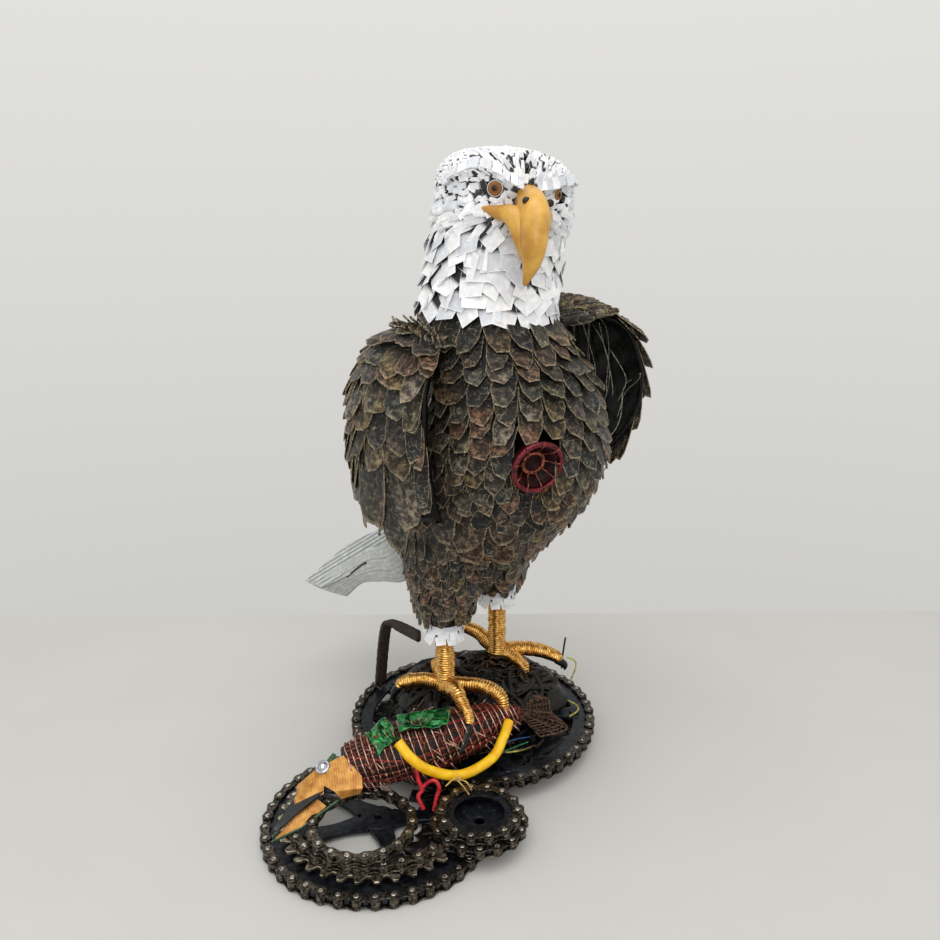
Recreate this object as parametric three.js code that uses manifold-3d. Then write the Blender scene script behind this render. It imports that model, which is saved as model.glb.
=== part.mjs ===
// Eagle perched on a fish, on a stack of bicycle chainrings: a sculpture assembled from scrap.
// Millimetres, +Z up. Everything is laid out round the middle of the front chainring, on the floor,
// and the finished group is moved so that its origin is the middle of its footprint.
import * as THREE from 'three';
import { mergeVertices } from 'three/addons/utils/BufferGeometryUtils.js';
import Module from 'manifold-3d';

const wasm = await Module();
wasm.setup();

// Driving dimensions: the half-inch chain sets the size of everything else.
const CHAIN_PITCH = 12.7;
const CHAIN_WIDTH = 10; // the wide chains, over the pin heads
const NARROW_WIDTH = 7.5; // the narrow chains
const PLATE_HALF = 4.2; // half the height of a side plate
const GAP = 0.3; // clearance between pieces that touch
const RING_THICKNESS = 4;
const SPROCKET_THICKNESS = 2.5;

// The stack of chains, by tooth count, place and height.
const FRONT_TEETH = 42;
const SPROCKET_TEETH = 36;
const MIDDLE_TEETH = 33;
const UPPER_TEETH = 18;
const SIDE_LOWER_TEETH = 16;
const SIDE_UPPER_TEETH = 14;
const REAR_TEETH = 52;
const FRONT_AT = new THREE.Vector2(0, 0);
const UPPER_AT = new THREE.Vector2(-8, -31);
const SIDE_AT = new THREE.Vector2(77.5, -19);
const REAR_AT = new THREE.Vector2(73.5, 128);
const SPROCKET_Z = CHAIN_WIDTH + GAP;
const LEVEL_1 = SPROCKET_Z + SPROCKET_THICKNESS + GAP;
const LEVEL_2 = LEVEL_1 + NARROW_WIDTH + GAP;
const REAR_TOP = LEVEL_1 + CHAIN_WIDTH;

// The eagle stands over this point and faces this far to the right of the front.
const EAGLE_AT = new THREE.Vector3(73.5, 129.5, 0);
const EAGLE_TURN = THREE.MathUtils.degToRad(40);
const HEAD_TURN = THREE.MathUtils.degToRad(19);
const HEAD_ROLL = THREE.MathUtils.degToRad(5);

// Helpers

const vec = (x, y, z) => new THREE.Vector3(x, y, z);
const radians = THREE.MathUtils.degToRad;
const lerp = THREE.MathUtils.lerp;
const steps = (count, make) => Array.from({ length: count }, (_, i) => make(i));
const pitchRadius = (teeth) => CHAIN_PITCH / (2 * Math.sin(Math.PI / teeth));
const polar = (radius, angle) => new THREE.Vector2(radius * Math.cos(angle), radius * Math.sin(angle));
const circle = (radius, sides, at = FRONT_AT) =>
  steps(sides, (j) => polar(radius, (2 * Math.PI * j) / sides).add(at));

// A closed skin over rings of equal length. Each ring runs anticlockwise as seen from the next one.
function loft(rings) {
  const around = rings[0].length;
  const points = rings.flat();
  const index = [];
  for (let r = 0; r + 1 < rings.length; r++) {
    for (let j = 0; j < around; j++) {
      const a = r * around + j;
      const b = r * around + ((j + 1) % around);
      index.push(a, b, b + around, a, b + around, a + around);
    }
  }
  for (const r of [0, rings.length - 1]) {
    const middle = points.length;
    points.push(rings[r].reduce((sum, p) => sum.add(p), vec(0, 0, 0)).divideScalar(around));
    for (let j = 0; j < around; j++) {
      const a = r * around + j;
      const b = r * around + ((j + 1) % around);
      index.push(middle, ...(r === 0 ? [b, a] : [a, b]));
    }
  }
  const geometry = new THREE.BufferGeometry().setFromPoints(points);
  geometry.setIndex(index);
  return geometry;
}

// A ring of points in the plane of two half-axes.
function ellipse(centre, along, across, sides) {
  return steps(sides, (j) => {
    const a = (2 * Math.PI * j) / sides;
    return centre.clone().addScaledVector(along, Math.cos(a)).addScaledVector(across, Math.sin(a));
  });
}

// A rod along a smooth curve through `path`, with its radius given at the same points.
function rod(path, radii, sides, count) {
  const curve = new THREE.CatmullRomCurve3(path, false, 'centripetal');
  const sizes = new THREE.SplineCurve(radii.map((r) => new THREE.Vector2(r, 0)));
  const frames = curve.computeFrenetFrames(count);
  return loft(steps(count + 1, (i) => {
    const r = sizes.getPoint(i / count).x;
    const along = curve.getTangent(i / count);
    const side = frames.normals[i].clone().projectOnPlane(along).normalize();
    const other = along.clone().cross(side);
    return ellipse(curve.getPoint(i / count), side.multiplyScalar(r), other.multiplyScalar(r), sides);
  }));
}

// A flat outline, with any holes, raised from `z` by `height`.
function plate(outline, holes, z, height) {
  const shape = new THREE.Shape(outline);
  shape.holes = holes.map((h) => new THREE.Path(h));
  return new THREE.ExtrudeGeometry(shape, { depth: height, bevelEnabled: false }).translate(0, 0, z);
}

// Joining and cutting

function solid(geometry) {
  const bare = geometry.clone();
  bare.deleteAttribute('normal');
  bare.deleteAttribute('uv');
  const merged = mergeVertices(bare, 1e-4);
  return new wasm.Manifold(new wasm.Mesh({
    numProp: 3,
    vertProperties: merged.attributes.position.array,
    triVerts: new Uint32Array(merged.index.array),
  }));
}

function skin(manifold) {
  const mesh = manifold.getMesh();
  const geometry = new THREE.BufferGeometry();
  geometry.setAttribute('position', new THREE.BufferAttribute(mesh.vertProperties, 3));
  geometry.setIndex(new THREE.BufferAttribute(mesh.triVerts, 1));
  return geometry;
}

// A cut leaves slivers thinner than the eye sees, so both results are tidied to this closeness.
const SLIVER = 0.04;
const join = (...geometries) => skin(geometries.map(solid).reduce((a, b) => a.add(b)).simplify(SLIVER));
const cut = (geometry, ...cutters) =>
  skin(cutters.map(solid).reduce((a, b) => a.subtract(b), solid(geometry)).simplify(SLIVER));

// Materials

const paint = (color, roughness, metalness = 0) =>
  new THREE.MeshStandardMaterial({ color, roughness, metalness });
const BLACK_ALLOY = paint('#1b1c1f', 0.45, 0.7);
const CHAIN_STEEL = paint('#3a342e', 0.42, 0.9);
const BARE_STEEL = paint('#8d8878', 0.35, 0.95);
const RUBBER = paint('#121213', 0.6);
const STRAP_BROWN = paint('#2e2420', 0.75);
const COPPER_WIRE = paint('#7a3d2c', 0.4, 0.8);
const CIRCUIT_GOLD = paint('#d29a45', 0.35, 0.4);
const SILVER = paint('#b9bcc0', 0.3, 0.8);
const GREEN_FOIL = paint('#1c7a3a', 0.25, 0.5);
const YELLOW_PVC = paint('#f0b21c', 0.4);
const RED_PVC = paint('#d8323c', 0.4);
const FEATHER = paint('#3d342c', 0.5, 0.3);
const WHITE_TILE = paint('#eceef2', 0.6);
const TAIL_WHITE = paint('#c3c6c6', 0.5);
const BEAK_YELLOW = paint('#d79a3a', 0.45);
const EYE_GLASS = paint('#8a6434', 0.1);
const RED_ENAMEL = paint('#8e1f2c', 0.3, 0.4);
const GOLD_WIRE = paint('#b5762a', 0.3, 0.9);
const CLAW_BLACK = paint('#16161a', 0.35);

const sculpture = new THREE.Group();
const base = new THREE.Group();
const eagle = new THREE.Group();
eagle.position.copy(EAGLE_AT);
eagle.rotation.z = EAGLE_TURN;
eagle.updateMatrix();
sculpture.add(base, eagle);

function add(group, name, geometry, material) {
  const mesh = new THREE.Mesh(geometry, material);
  mesh.name = name;
  group.add(mesh);
}

// Chains and chainrings

// The inner edge of a closed chain is a plain polygon, and what fills it stays clear of its flats.
const insideSides = (teeth) => (teeth < 20 ? teeth : Math.ceil(teeth / 3));
const insideRadius = (teeth) =>
  (pitchRadius(teeth) - PLATE_HALF) * Math.cos(Math.PI / insideSides(teeth)) - GAP;

// Outline points of a chain round a circle: side plates bulge at each pin and narrow between pins.
function chainEdge(teeth, first, links) {
  const radius = pitchRadius(teeth);
  const waist = radius * Math.cos(Math.PI / teeth) + 0.6 * PLATE_HALF;
  return steps(2 * links + 1, (j) =>
    polar(j % 2 ? waist : radius + PLATE_HALF, first + (Math.PI * j) / teeth));
}

function chainLoop(teeth, at, z, width) {
  const outer = chainEdge(teeth, 0, teeth).slice(1).map((p) => p.add(at));
  return plate(outer, [circle(pitchRadius(teeth) - PLATE_HALF, insideSides(teeth), at)], z, width);
}

function chainArc(teeth, z, width, first, last) {
  const links = Math.round(((last - first) * teeth) / (2 * Math.PI));
  const inside = pitchRadius(teeth) - PLATE_HALF;
  const inner = steps(links + 1, (j) => polar(inside, first + (2 * Math.PI * j) / teeth));
  return plate([...chainEdge(teeth, first, links), ...inner.reverse()], [], z, width);
}

// A chainring that fills its chain, with windows between five arms and an open middle.
function chainring(teeth, at, z, windowIn, windowOut, bore) {
  const arms = 5;
  const armHalf = 7;
  const windows = steps(arms, (k) => {
    const edge = (r, t) => {
      const reach = (2 * Math.PI) / arms - (2 * armHalf) / r;
      return polar(r, (2 * Math.PI * k) / arms + armHalf / r + t * reach).add(at);
    };
    return [edge(windowIn, 0), edge(windowOut, 0), edge(windowOut, 0.33), edge(windowOut, 0.67),
      edge(windowOut, 1), edge(windowIn, 1), edge(windowIn, 0.5)];
  });
  const rim = circle(insideRadius(teeth), 32, at);
  return plate(rim, [...windows, circle(bore, 16, at)], z, RING_THICKNESS);
}

// A bare sprocket, cut from sheet, with a pointed tooth between each two pins.
function sprocket(teeth, z, bore) {
  const tip = pitchRadius(teeth) + 3;
  const root = pitchRadius(teeth) - 3;
  const outline = steps(2 * teeth, (j) => polar(j % 2 ? tip : root, (Math.PI * j) / teeth));
  return plate(outline, [circle(bore, 20)], z, SPROCKET_THICKNESS);
}

const ringRise = (CHAIN_WIDTH - RING_THICKNESS) / 2;
const cogRise = (NARROW_WIDTH - RING_THICKNESS) / 2;
const cog = (teeth, z) =>
  plate(circle(insideRadius(teeth), 16, SIDE_AT), [], z + cogRise, RING_THICKNESS);
const REAR_BORE = 46;

add(base, 'front_chain', chainLoop(FRONT_TEETH, FRONT_AT, 0, CHAIN_WIDTH), CHAIN_STEEL);
add(base, 'front_chainring', chainring(FRONT_TEETH, FRONT_AT, ringRise, 24, 56, 16), BLACK_ALLOY);
add(base, 'steel_sprocket', sprocket(SPROCKET_TEETH, SPROCKET_Z, 61), BARE_STEEL);
const middleChain = chainArc(MIDDLE_TEETH, LEVEL_1, NARROW_WIDTH, radians(170), radians(312));
add(base, 'middle_chain', middleChain, CHAIN_STEEL);
add(base, 'upper_chain', chainLoop(UPPER_TEETH, UPPER_AT, LEVEL_2, NARROW_WIDTH), CHAIN_STEEL);
add(base, 'side_chain_lower', chainLoop(SIDE_LOWER_TEETH, SIDE_AT, LEVEL_1, NARROW_WIDTH), CHAIN_STEEL);
add(base, 'side_cog_lower', cog(SIDE_LOWER_TEETH, LEVEL_1), BLACK_ALLOY);
add(base, 'side_chain_upper', chainLoop(SIDE_UPPER_TEETH, SIDE_AT, LEVEL_2, NARROW_WIDTH), CHAIN_STEEL);
add(base, 'side_cog_upper', cog(SIDE_UPPER_TEETH, LEVEL_2), BLACK_ALLOY);
add(base, 'rear_chain', chainLoop(REAR_TEETH, REAR_AT, LEVEL_1, CHAIN_WIDTH), CHAIN_STEEL);
const rearRing = chainring(REAR_TEETH, REAR_AT, LEVEL_1 + ringRise, 54, 90, REAR_BORE);
add(base, 'rear_chainring', rearRing, BLACK_ALLOY);

// Feet: a wire-wound shank and toes, each toe by its knuckle and tip, and a black claw on each toe.

const SHANK_RADIUS = 8;
const TOE_RADII = [7.5, 6.8, 6.4, 5];
const CLAW_LENGTH = 16;
const FEET = {
  right: {
    sole: vec(51, 96, 66),
    top: vec(49, 99, 121),
    toes: [
      { knuckle: vec(32, 104, 72), tip: vec(14, 109, 62) },
      { knuckle: vec(60, 70, 74), tip: vec(68, 53, 63) },
      { knuckle: vec(79, 84, 73), tip: vec(98, 79, 60) },
      { knuckle: vec(45, 116, 71), tip: vec(42, 130, 68) },
    ],
  },
  left: {
    sole: vec(96, 152, 70),
    top: vec(96, 160, 125),
    toes: [
      { knuckle: vec(111, 150, 66), tip: vec(121, 147, 56) },
      { knuckle: vec(128, 162, 66), tip: vec(151, 169, 55) },
      { knuckle: vec(80, 166, 80), tip: vec(66, 176, 82) },
    ],
  },
};

function foot({ sole, top, toes }, grow) {
  const shank = rod([top, sole.clone().lerp(top, 0.4), sole], Array(3).fill(SHANK_RADIUS + grow), 8, 2);
  const toeRods = toes.map(({ knuckle, tip }) => {
    const start = sole.clone().lerp(knuckle, 0.1);
    const path = [start, knuckle, knuckle.clone().lerp(tip, 0.6), tip];
    return rod(path, TOE_RADII.map((r) => r + grow), 5, 3);
  });
  return join(shank, ...toeRods);
}

function claw({ knuckle, tip }, grow) {
  const out = tip.clone().sub(knuckle).setZ(0).normalize();
  const start = tip.clone().addScaledVector(out, TOE_RADII[3] + 1.2);
  const bend = start.clone().addScaledVector(out, 4).add(vec(0, 0, -CLAW_LENGTH * 0.45));
  const point = start.clone().addScaledVector(out, 2.5).add(vec(0, 0, -CLAW_LENGTH));
  return rod([start, bend, point], [3.2 + grow, 2.6 + grow, 0.8 + grow], 5, 2);
}

const sides = Object.keys(FEET);
const grownFeet = sides.map((side) => foot(FEET[side], GAP));
for (const side of sides) {
  const plain = foot(FEET[side], 0);
  add(base, `${side}_foot`, plain, GOLD_WIRE);
  FEET[side].toes.forEach((toe, k) => {
    add(base, `${side}_claw_${k + 1}`, cut(claw(toe, 0), ...grownFeet), CLAW_BLACK);
  });
}
const grownClaws = sides.flatMap((side) => FEET[side].toes.map((toe) => claw(toe, GAP)));

// The fish: a wire cage body, a folded circuit-board head, foil on its back and cable for fins.

const FISH_AXIS = [vec(-24, 9, 45), vec(6, 22, 47), vec(42, 39, 48), vec(82, 66, 46), vec(112, 92, 40)];
const FISH_RADII = [17, 22, 23, 17, 8];
const fishBody = (grow) => rod(FISH_AXIS, FISH_RADII.map((r) => r + grow), 10, 6);
const rearRadius = pitchRadius(REAR_TEETH) + PLATE_HALF + GAP;
const rearCover = plate(circle(rearRadius, 40, REAR_AT), [], LEVEL_1, CHAIN_WIDTH + GAP);
const upperRadius = pitchRadius(UPPER_TEETH) + PLATE_HALF + GAP;
const upperCover = plate(circle(upperRadius, 24, UPPER_AT), [], LEVEL_2, NARROW_WIDTH + GAP);
const grownFish = fishBody(GAP);
add(base, 'fish_body', cut(fishBody(0), ...grownFeet, ...grownClaws, rearCover, upperCover), COPPER_WIRE);

// A wedge along a line, rectangular in section, full size for the first half and tapering after.
function wedge(back, front, backHalf, frontHalf, grow = 0) {
  const along = front.clone().sub(back).normalize();
  const across = vec(0, 0, 1).cross(along).normalize();
  const up = along.clone().cross(across);
  const section = (at, [wide, tall]) => [[1, -1], [1, 1], [-1, 1], [-1, -1]].map(([i, j]) =>
    at.clone().addScaledVector(across, i * (wide + grow)).addScaledVector(up, j * (tall + grow)));
  const middle = back.clone().lerp(front, 0.45);
  return loft([section(back, backHalf), section(middle, backHalf), section(front, frontHalf)]);
}

// A thin sheet: a flat outline in space, thickened both ways along its normal.
function sheet(outline, thickness) {
  const normal = outline[1].clone().sub(outline[0]).cross(outline[2].clone().sub(outline[0])).normalize();
  const face = (d) => outline.map((p) => p.clone().addScaledVector(normal, d));
  return loft([face(-thickness / 2), face(thickness / 2)]);
}

const snout = (grow) => wedge(vec(-20, 9, 48), vec(-72, -33, 27), [17, 9], [4, 2.5], grow);
add(base, 'fish_head', cut(snout(0), grownFish, upperCover), CIRCUIT_GOLD);
const lowerJaw = wedge(vec(-24, -8, 36), vec(-67, -48, 23), [9, 2.5], [3, 1.6]);
add(base, 'fish_jaw', cut(lowerJaw, grownFish, snout(GAP), upperCover), CIRCUIT_GOLD);
const FISH_EYE_AT = vec(-40, 0, 51.5);
const FISH_EYE_AIM = vec(-0.25, -0.2, 0.95).normalize();
const eyeTurn = new THREE.Quaternion().setFromUnitVectors(vec(0, 1, 0), FISH_EYE_AIM);
const fishEye = new THREE.CylinderGeometry(5.5, 7, 4, 14).applyQuaternion(eyeTurn);
fishEye.translate(FISH_EYE_AT.x, FISH_EYE_AT.y, FISH_EYE_AT.z);
add(base, 'fish_eye', cut(fishEye, snout(GAP)), SILVER);

const fishTailOutline = [vec(106, 88, 41), vec(129, 63, 36), vec(152, 72, 38), vec(140, 92, 42),
  vec(138, 108, 45), vec(117, 114, 46)];
const fishTail = cut(sheet(fishTailOutline, 5), grownFish, ...grownFeet, ...grownClaws, rearCover);
add(base, 'fish_tail', fishTail, COPPER_WIRE);
const foilFront = sheet([vec(-10, 17, 66), vec(6, 2, 64), vec(20, 12, 70), vec(4, 36, 67)], 5);
const foilBack = sheet([vec(22, 22, 70), vec(48, 34, 72), vec(46, 56, 66), vec(14, 44, 66)], 5);
const foils = { foil_front: foilFront, foil_back: foilBack };
for (const [name, geometry] of Object.entries(foils)) {
  add(base, name, cut(geometry, grownFish, ...grownFeet, ...grownClaws), GREEN_FOIL);
}

const CABLE_PATH = [vec(16, 9, 67), vec(27, 3, 56), vec(41, 7, 43), vec(64, 16, 33), vec(88, 33, 36),
  vec(98, 49, 45), vec(103, 61, 52)];
const CABLE_RADIUS = 4;
const cable = (grow) => rod(CABLE_PATH, CABLE_PATH.map(() => CABLE_RADIUS + grow), 6, 9);
const cableCutters = [grownFish, ...grownClaws, ...grownFeet, rearCover, foilFront];
add(base, 'yellow_cable', cut(cable(0), ...cableCutters), YELLOW_PVC);
const FIN_PATH = [vec(37, -3, 15), vec(28, 7, 22), vec(24, 10, 29), vec(30, 9, 33), vec(36, 6, 27),
  vec(42, 8, 32), vec(45, 4, 27), vec(40, -1, 17)];
const fin = rod(FIN_PATH, Array(8).fill(1.7), 4, 12);
add(base, 'red_fin', cut(fin, grownFish, cable(GAP), upperCover, rearCover), RED_PVC);

// The mound of black rubber: a foot on the floor, a neck through the rear ring and a heap on top of it.

const HEAP_AT = vec(80, 142, 0);
const heapRing = (z, wide, deep) =>
  steps(12, (j) => {
    const a = (2 * Math.PI * j) / 12;
    const lump = 1 + 0.05 * Math.sin(3 * a + 0.05 * z) + 0.035 * Math.sin(5 * a - 0.09 * z);
    return vec(HEAP_AT.x + wide * lump * Math.cos(a), HEAP_AT.y + deep * lump * Math.sin(a), z);
  });
const heap = loft([
  heapRing(REAR_TOP + GAP, 76, 60),
  heapRing(36, 77, 60),
  heapRing(47, 66, 50),
  heapRing(57, 42, 34),
  heapRing(65, 20, 18),
]);
const mound = join(
  plate(circle(60, 16, new THREE.Vector2(86, 143)), [], 0, LEVEL_1 - GAP),
  plate(circle(REAR_BORE - 2, 14, REAR_AT), [], LEVEL_1 - 1, CHAIN_WIDTH + 3),
  heap,
);
const grownTail = sheet(fishTailOutline, 5 + 2 * GAP);
const moundCutters = [grownFish, ...grownFeet, ...grownClaws, cable(GAP), grownTail];
add(base, 'rubber_mound', cut(mound, ...moundCutters), RUBBER);

// The strap: a flat bar from the rear ring, up and over to the right leg.

const STRAP_PATH = [vec(-12, 178, REAR_TOP + GAP), vec(-13, 172, 60), vec(-10, 163, 98), vec(2, 152, 102),
  vec(24, 133, 97)];
const STRAP_HALF = [5.5, 2];
const strapRings = STRAP_PATH.map((at, i) => {
  const before = STRAP_PATH[Math.max(i - 1, 0)];
  const after = STRAP_PATH[Math.min(i + 1, STRAP_PATH.length - 1)];
  const along = i === 0 ? vec(0, 0, 1) : after.clone().sub(before).normalize();
  const face = vec(0.5, -0.866, 0).projectOnPlane(along).normalize();
  const edge = face.clone().cross(along).normalize();
  return [[1, -1], [1, 1], [-1, 1], [-1, -1]].map(([u, v]) =>
    at.clone().addScaledVector(edge, u * STRAP_HALF[0]).addScaledVector(face, v * STRAP_HALF[1]));
});
add(base, 'bent_strap', cut(loft(strapRings), ...grownFeet), STRAP_BROWN);

// Feathered skins: rows of overlapping feathers, each row a tucked ring under a hem of blunt tips.

// Rings of a shingled skin from its lowest row up. `surface(t, a, out)` is a point at height t and angle a.
// Every second point of a hem is a tip, which reaches a third of a row lower; the lowest hem hangs free.
const TIP_REACH = 0.34;
function shingles(rows, perRow, surface, lift, drop) {
  const rings = [];
  for (let k = 0; k < rows; k++) {
    const ring = (t, out, reach) => steps(2 * perRow, (j) => {
      const angle = (Math.PI * (j + (k % 2))) / perRow;
      const down = j % 2 ? reach : 0;
      const point = surface(Math.max(t - down / rows, 0), angle, out);
      if (t === 0) point.z -= down * drop;
      return point;
    });
    rings.push(ring(k / rows, lift, TIP_REACH), ring((k + 0.97) / rows, 0, 0));
  }
  return rings;
}

// A table of sections as smooth curves: heights and middles on one, half-axes on the other.
function spine(sections) {
  const middles = new THREE.CatmullRomCurve3(sections.map(([z, x, y]) => vec(x, y, z)));
  const girths = new THREE.CatmullRomCurve3(sections.map(([, , , a, b]) => vec(a, b, 0)));
  return (t, angle, out) => {
    const at = middles.getPoint(t);
    const girth = girths.getPoint(t);
    return at.add(vec((girth.x + out) * Math.cos(angle), (girth.y + out) * Math.sin(angle), 0));
  };
}

// Sections of the body in the eagle's own frame, front at -Y: height, middle, half width, half depth.
const BODY_SECTIONS = [
  [166, 0, 0, 36, 40],
  [190, 0, 0, 53, 60],
  [226, 0, -4, 66, 90],
  [256, 0, -26, 68, 88],
  [286, 0, -48, 67, 74],
  [330, -3, -49, 61, 62],
  [354, -7, -39, 56, 56],
  [374, -9, -31, 52, 52],
];
const BODY_ROWS = 10;
const BODY_FEATHERS = 13;
const LIFT = 3.2;
const DROP = 16; // over one row
const bodySurface = spine(BODY_SECTIONS);
const torso = loft(shingles(BODY_ROWS, BODY_FEATHERS, bodySurface, LIFT, DROP));

// Thighs hang from the body to just above each shank.
const toEagle = (point) => point.clone().applyMatrix4(eagle.matrix.clone().invert());
const THIGH_GIRTHS = [[0, 17], [0.25, 24], [0.6, 31], [1, 36]];
const CUFF_TOP = 5;
function thigh(side) {
  const low = toEagle(FEET[side].top).add(vec(0, 0, CUFF_TOP));
  const high = vec(low.x * 0.8, low.y * 0.6, 214);
  const surface = spine(THIGH_GIRTHS.map(([t, r]) => {
    const at = low.clone().lerp(high, t);
    return [at.z, at.x, at.y, r, r * 1.08];
  }));
  return loft(shingles(3, 8, surface, LIFT, DROP));
}

const ROSETTE_AT = vec(-30, -106, 281);
const ROSETTE_RADIUS = 19;
const rosetteAim = vec(-0.35, -0.85, -0.3).normalize();
const turnTo = new THREE.Quaternion().setFromUnitVectors(vec(0, 1, 0), rosetteAim);
const onChest = (geometry) =>
  geometry.applyQuaternion(turnTo).translate(ROSETTE_AT.x, ROSETTE_AT.y, ROSETTE_AT.z);
const pocketRadius = ROSETTE_RADIUS + 2 * GAP;
const pocket = onChest(new THREE.CylinderGeometry(pocketRadius, pocketRadius, 40, 14).translate(0, 14, 0));
const NECK_PLANE = 372;
const neckCut = new THREE.BoxGeometry(300, 300, 60).translate(0, 0, NECK_PLANE + 30);
const body = join(torso, thigh('right'), thigh('left'));
const eagleFeet = sides.map((side) => foot(FEET[side], GAP).applyMatrix4(eagle.matrix.clone().invert()));
add(eagle, 'feathered_body', cut(body, pocket, neckCut, ...eagleFeet), FEATHER);

// The rosette: a red dish with a raised rim and a wound hub in its middle.
const dishProfile = [[0, -6], [ROSETTE_RADIUS, -5], [ROSETTE_RADIUS, 2], [ROSETTE_RADIUS - 3, 3], [9, -2],
  [7, 1], [0, 1]];
const dish = new THREE.LatheGeometry(dishProfile.map(([r, y]) => new THREE.Vector2(r, y)), 14);
add(eagle, 'chest_rosette', onChest(dish), RED_ENAMEL);

// The neck and head in the head's own frame, front at -Y, from the collar up.
const NECK_AT = vec(86.5, 100, 372.6);
const HEAD_SECTIONS = [
  [6, 0, 0, 52, 52],
  [24, 0, 0, 51, 51],
  [46, 1, -1, 49, 50],
  [66, 2, -3, 49, 51],
  [84, 3, -5, 51, 52],
  [97, 3, -5, 51, 52],
  [112, 3, -4, 46, 48],
  [123, 3, -3, 32, 35],
  [128, 3, -2, 12, 14],
];
const neckColumn = (grow) => {
  const column = new THREE.CylinderGeometry(55 + grow, 57 + grow, 40, 20).rotateX(Math.PI / 2);
  const at = toEagle(NECK_AT);
  return column.translate(at.x, at.y, NECK_PLANE + 20);
};

// Wings: curved shells, feathered outside and plain inside, open at the front. Sections run from the
// lowest tips over the outside to the shoulder: side, height, front and back.
const WINGS = {
  right: { hand: -1, sections: [
    [97, 232, -62, 60], [106, 270, -62, 62], [109, 306, -62, 56], [105, 342, -60, 46], [92, 368, -56, 32],
    [72, 378, -50, 14], [52, 374, -44, 0]] },
  left: { hand: 1, sections: [
    [88, 246, -70, 52], [109, 274, -84, 60], [120, 306, -91, 60], [119, 342, -90, 50], [105, 375, -82, 35],
    [79, 390, -69, 15], [50, 384, -58, 0]] },
};
const WING_ROWS = 5;
const WING_FEATHERS = 5;
const WING_THICKNESS = 4;
const WING_FRONT_CURL = 9;
const WING_BACK_CURL = 36;
const WING_DROP = 47; // over one row
const HULL_OUT = LIFT + 3.5;
const hullRing = (t) => steps(16, (j) => bodySurface(t, (Math.PI * j) / 8, HULL_OUT));
const bodyHull = loft(steps(11, (i) => hullRing(i / 10)));
const bodyCover = join(bodyHull, neckColumn(GAP));
function wing({ hand, sections }) {
  const line = new THREE.CatmullRomCurve3(sections.map(([x, z]) => vec(x, 0, z)));
  const ends = new THREE.SplineCurve(sections.map(([, , front, back]) => new THREE.Vector2(front, back)));
  const point = (t, u, lift) => {
    const at = line.getPoint(t);
    const way = line.getTangent(t);
    const end = ends.getPoint(t);
    const curl = u < 0.5 ? WING_FRONT_CURL : WING_BACK_CURL;
    const out = lift - curl * (2 * u - 1) ** 2;
    return vec(hand * (at.x + out * way.z), lerp(end.x, end.y, u), at.z - out * way.x);
  };
  const corners = WING_FEATHERS * 2;
  const ring = (t, lift, reach, row) => {
    const outer = steps(corners + 1, (j) => {
      const down = (j + row) % 2 ? reach : 0;
      const at = point(Math.max(t - down / WING_ROWS, 0), j / corners, lift);
      if (t === 0) at.add(vec(0, 0.5, -1).multiplyScalar(down * WING_DROP));
      return at;
    });
    const inner = steps(5, (j) => point(t, 1 - j / 4, -WING_THICKNESS));
    const all = [...outer, ...inner];
    return hand > 0 ? all : all.reverse();
  };
  const rings = steps(WING_ROWS, (k) =>
    [ring(k / WING_ROWS, LIFT, TIP_REACH, k), ring((k + 0.97) / WING_ROWS, 0, 0, k)]);
  return cut(loft(rings.flat()), bodyCover);
}
for (const side of sides) add(eagle, `${side}_wing`, wing(WINGS[side]), FEATHER);

// The tail: five long feathers fanned out behind and below, the outer ones rolled like a roof.
const TAIL_ROOT = vec(0, 60, 198);
const TAIL_LENGTH = 164;
const TAIL_FALL = radians(41);
const TAIL_SPREAD = radians(25);
const TAIL_ROLL = radians(62);
const TAIL_OUTLINE = [[6, 6], [18, 108], [4, TAIL_LENGTH], [-14, TAIL_LENGTH - 22], [-18, 94], [-6, 6]];
const tailFeathers = steps(5, (k) => {
  const place = k / 2 - 1;
  const outline = TAIL_OUTLINE.map(([x, y]) => new THREE.Vector2(x, y));
  const feather = plate(outline, [], -Math.abs(place) * 5.5 - (place > 0 ? 2.6 : 0), 2.2);
  feather.rotateY(place * TAIL_ROLL).rotateZ(-place * TAIL_SPREAD).rotateX(-TAIL_FALL);
  return feather.translate(TAIL_ROOT.x, TAIL_ROOT.y, TAIL_ROOT.z);
});
add(eagle, 'tail_fan', cut(join(...tailFeathers), bodyCover), TAIL_WHITE);

// White cuffs round the top of each shank.
for (const side of sides) {
  const { top } = FEET[side];
  const cuff = new THREE.CylinderGeometry(14, 16.5, 16, 10).rotateX(Math.PI / 2);
  cuff.translate(top.x, top.y, top.z - 10);
  add(base, `${side}_cuff`, cut(cuff, ...grownFeet), WHITE_TILE);
}

// The head and neck, with brows fused on and the beak and eyes let in.
const head = new THREE.Group();
head.position.copy(NECK_AT);
head.rotation.set(0, HEAD_ROLL, HEAD_TURN, 'ZYX');
sculpture.add(head);
const FACE_X = 3;
const HEAD_ROWS = 6;
const HEAD_FEATHERS = 10;
const headForm = loft(shingles(HEAD_ROWS, HEAD_FEATHERS, spine(HEAD_SECTIONS), 2.6, 14));
const brows = [-1, 1].map((hand) => {
  const path = [[6, -57, 106], [25, -52, 109], [42, -34, 107]];
  return rod(path.map(([x, y, z]) => vec(FACE_X + hand * x, y, z)), [4, 6, 4], 5, 2);
});

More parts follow.
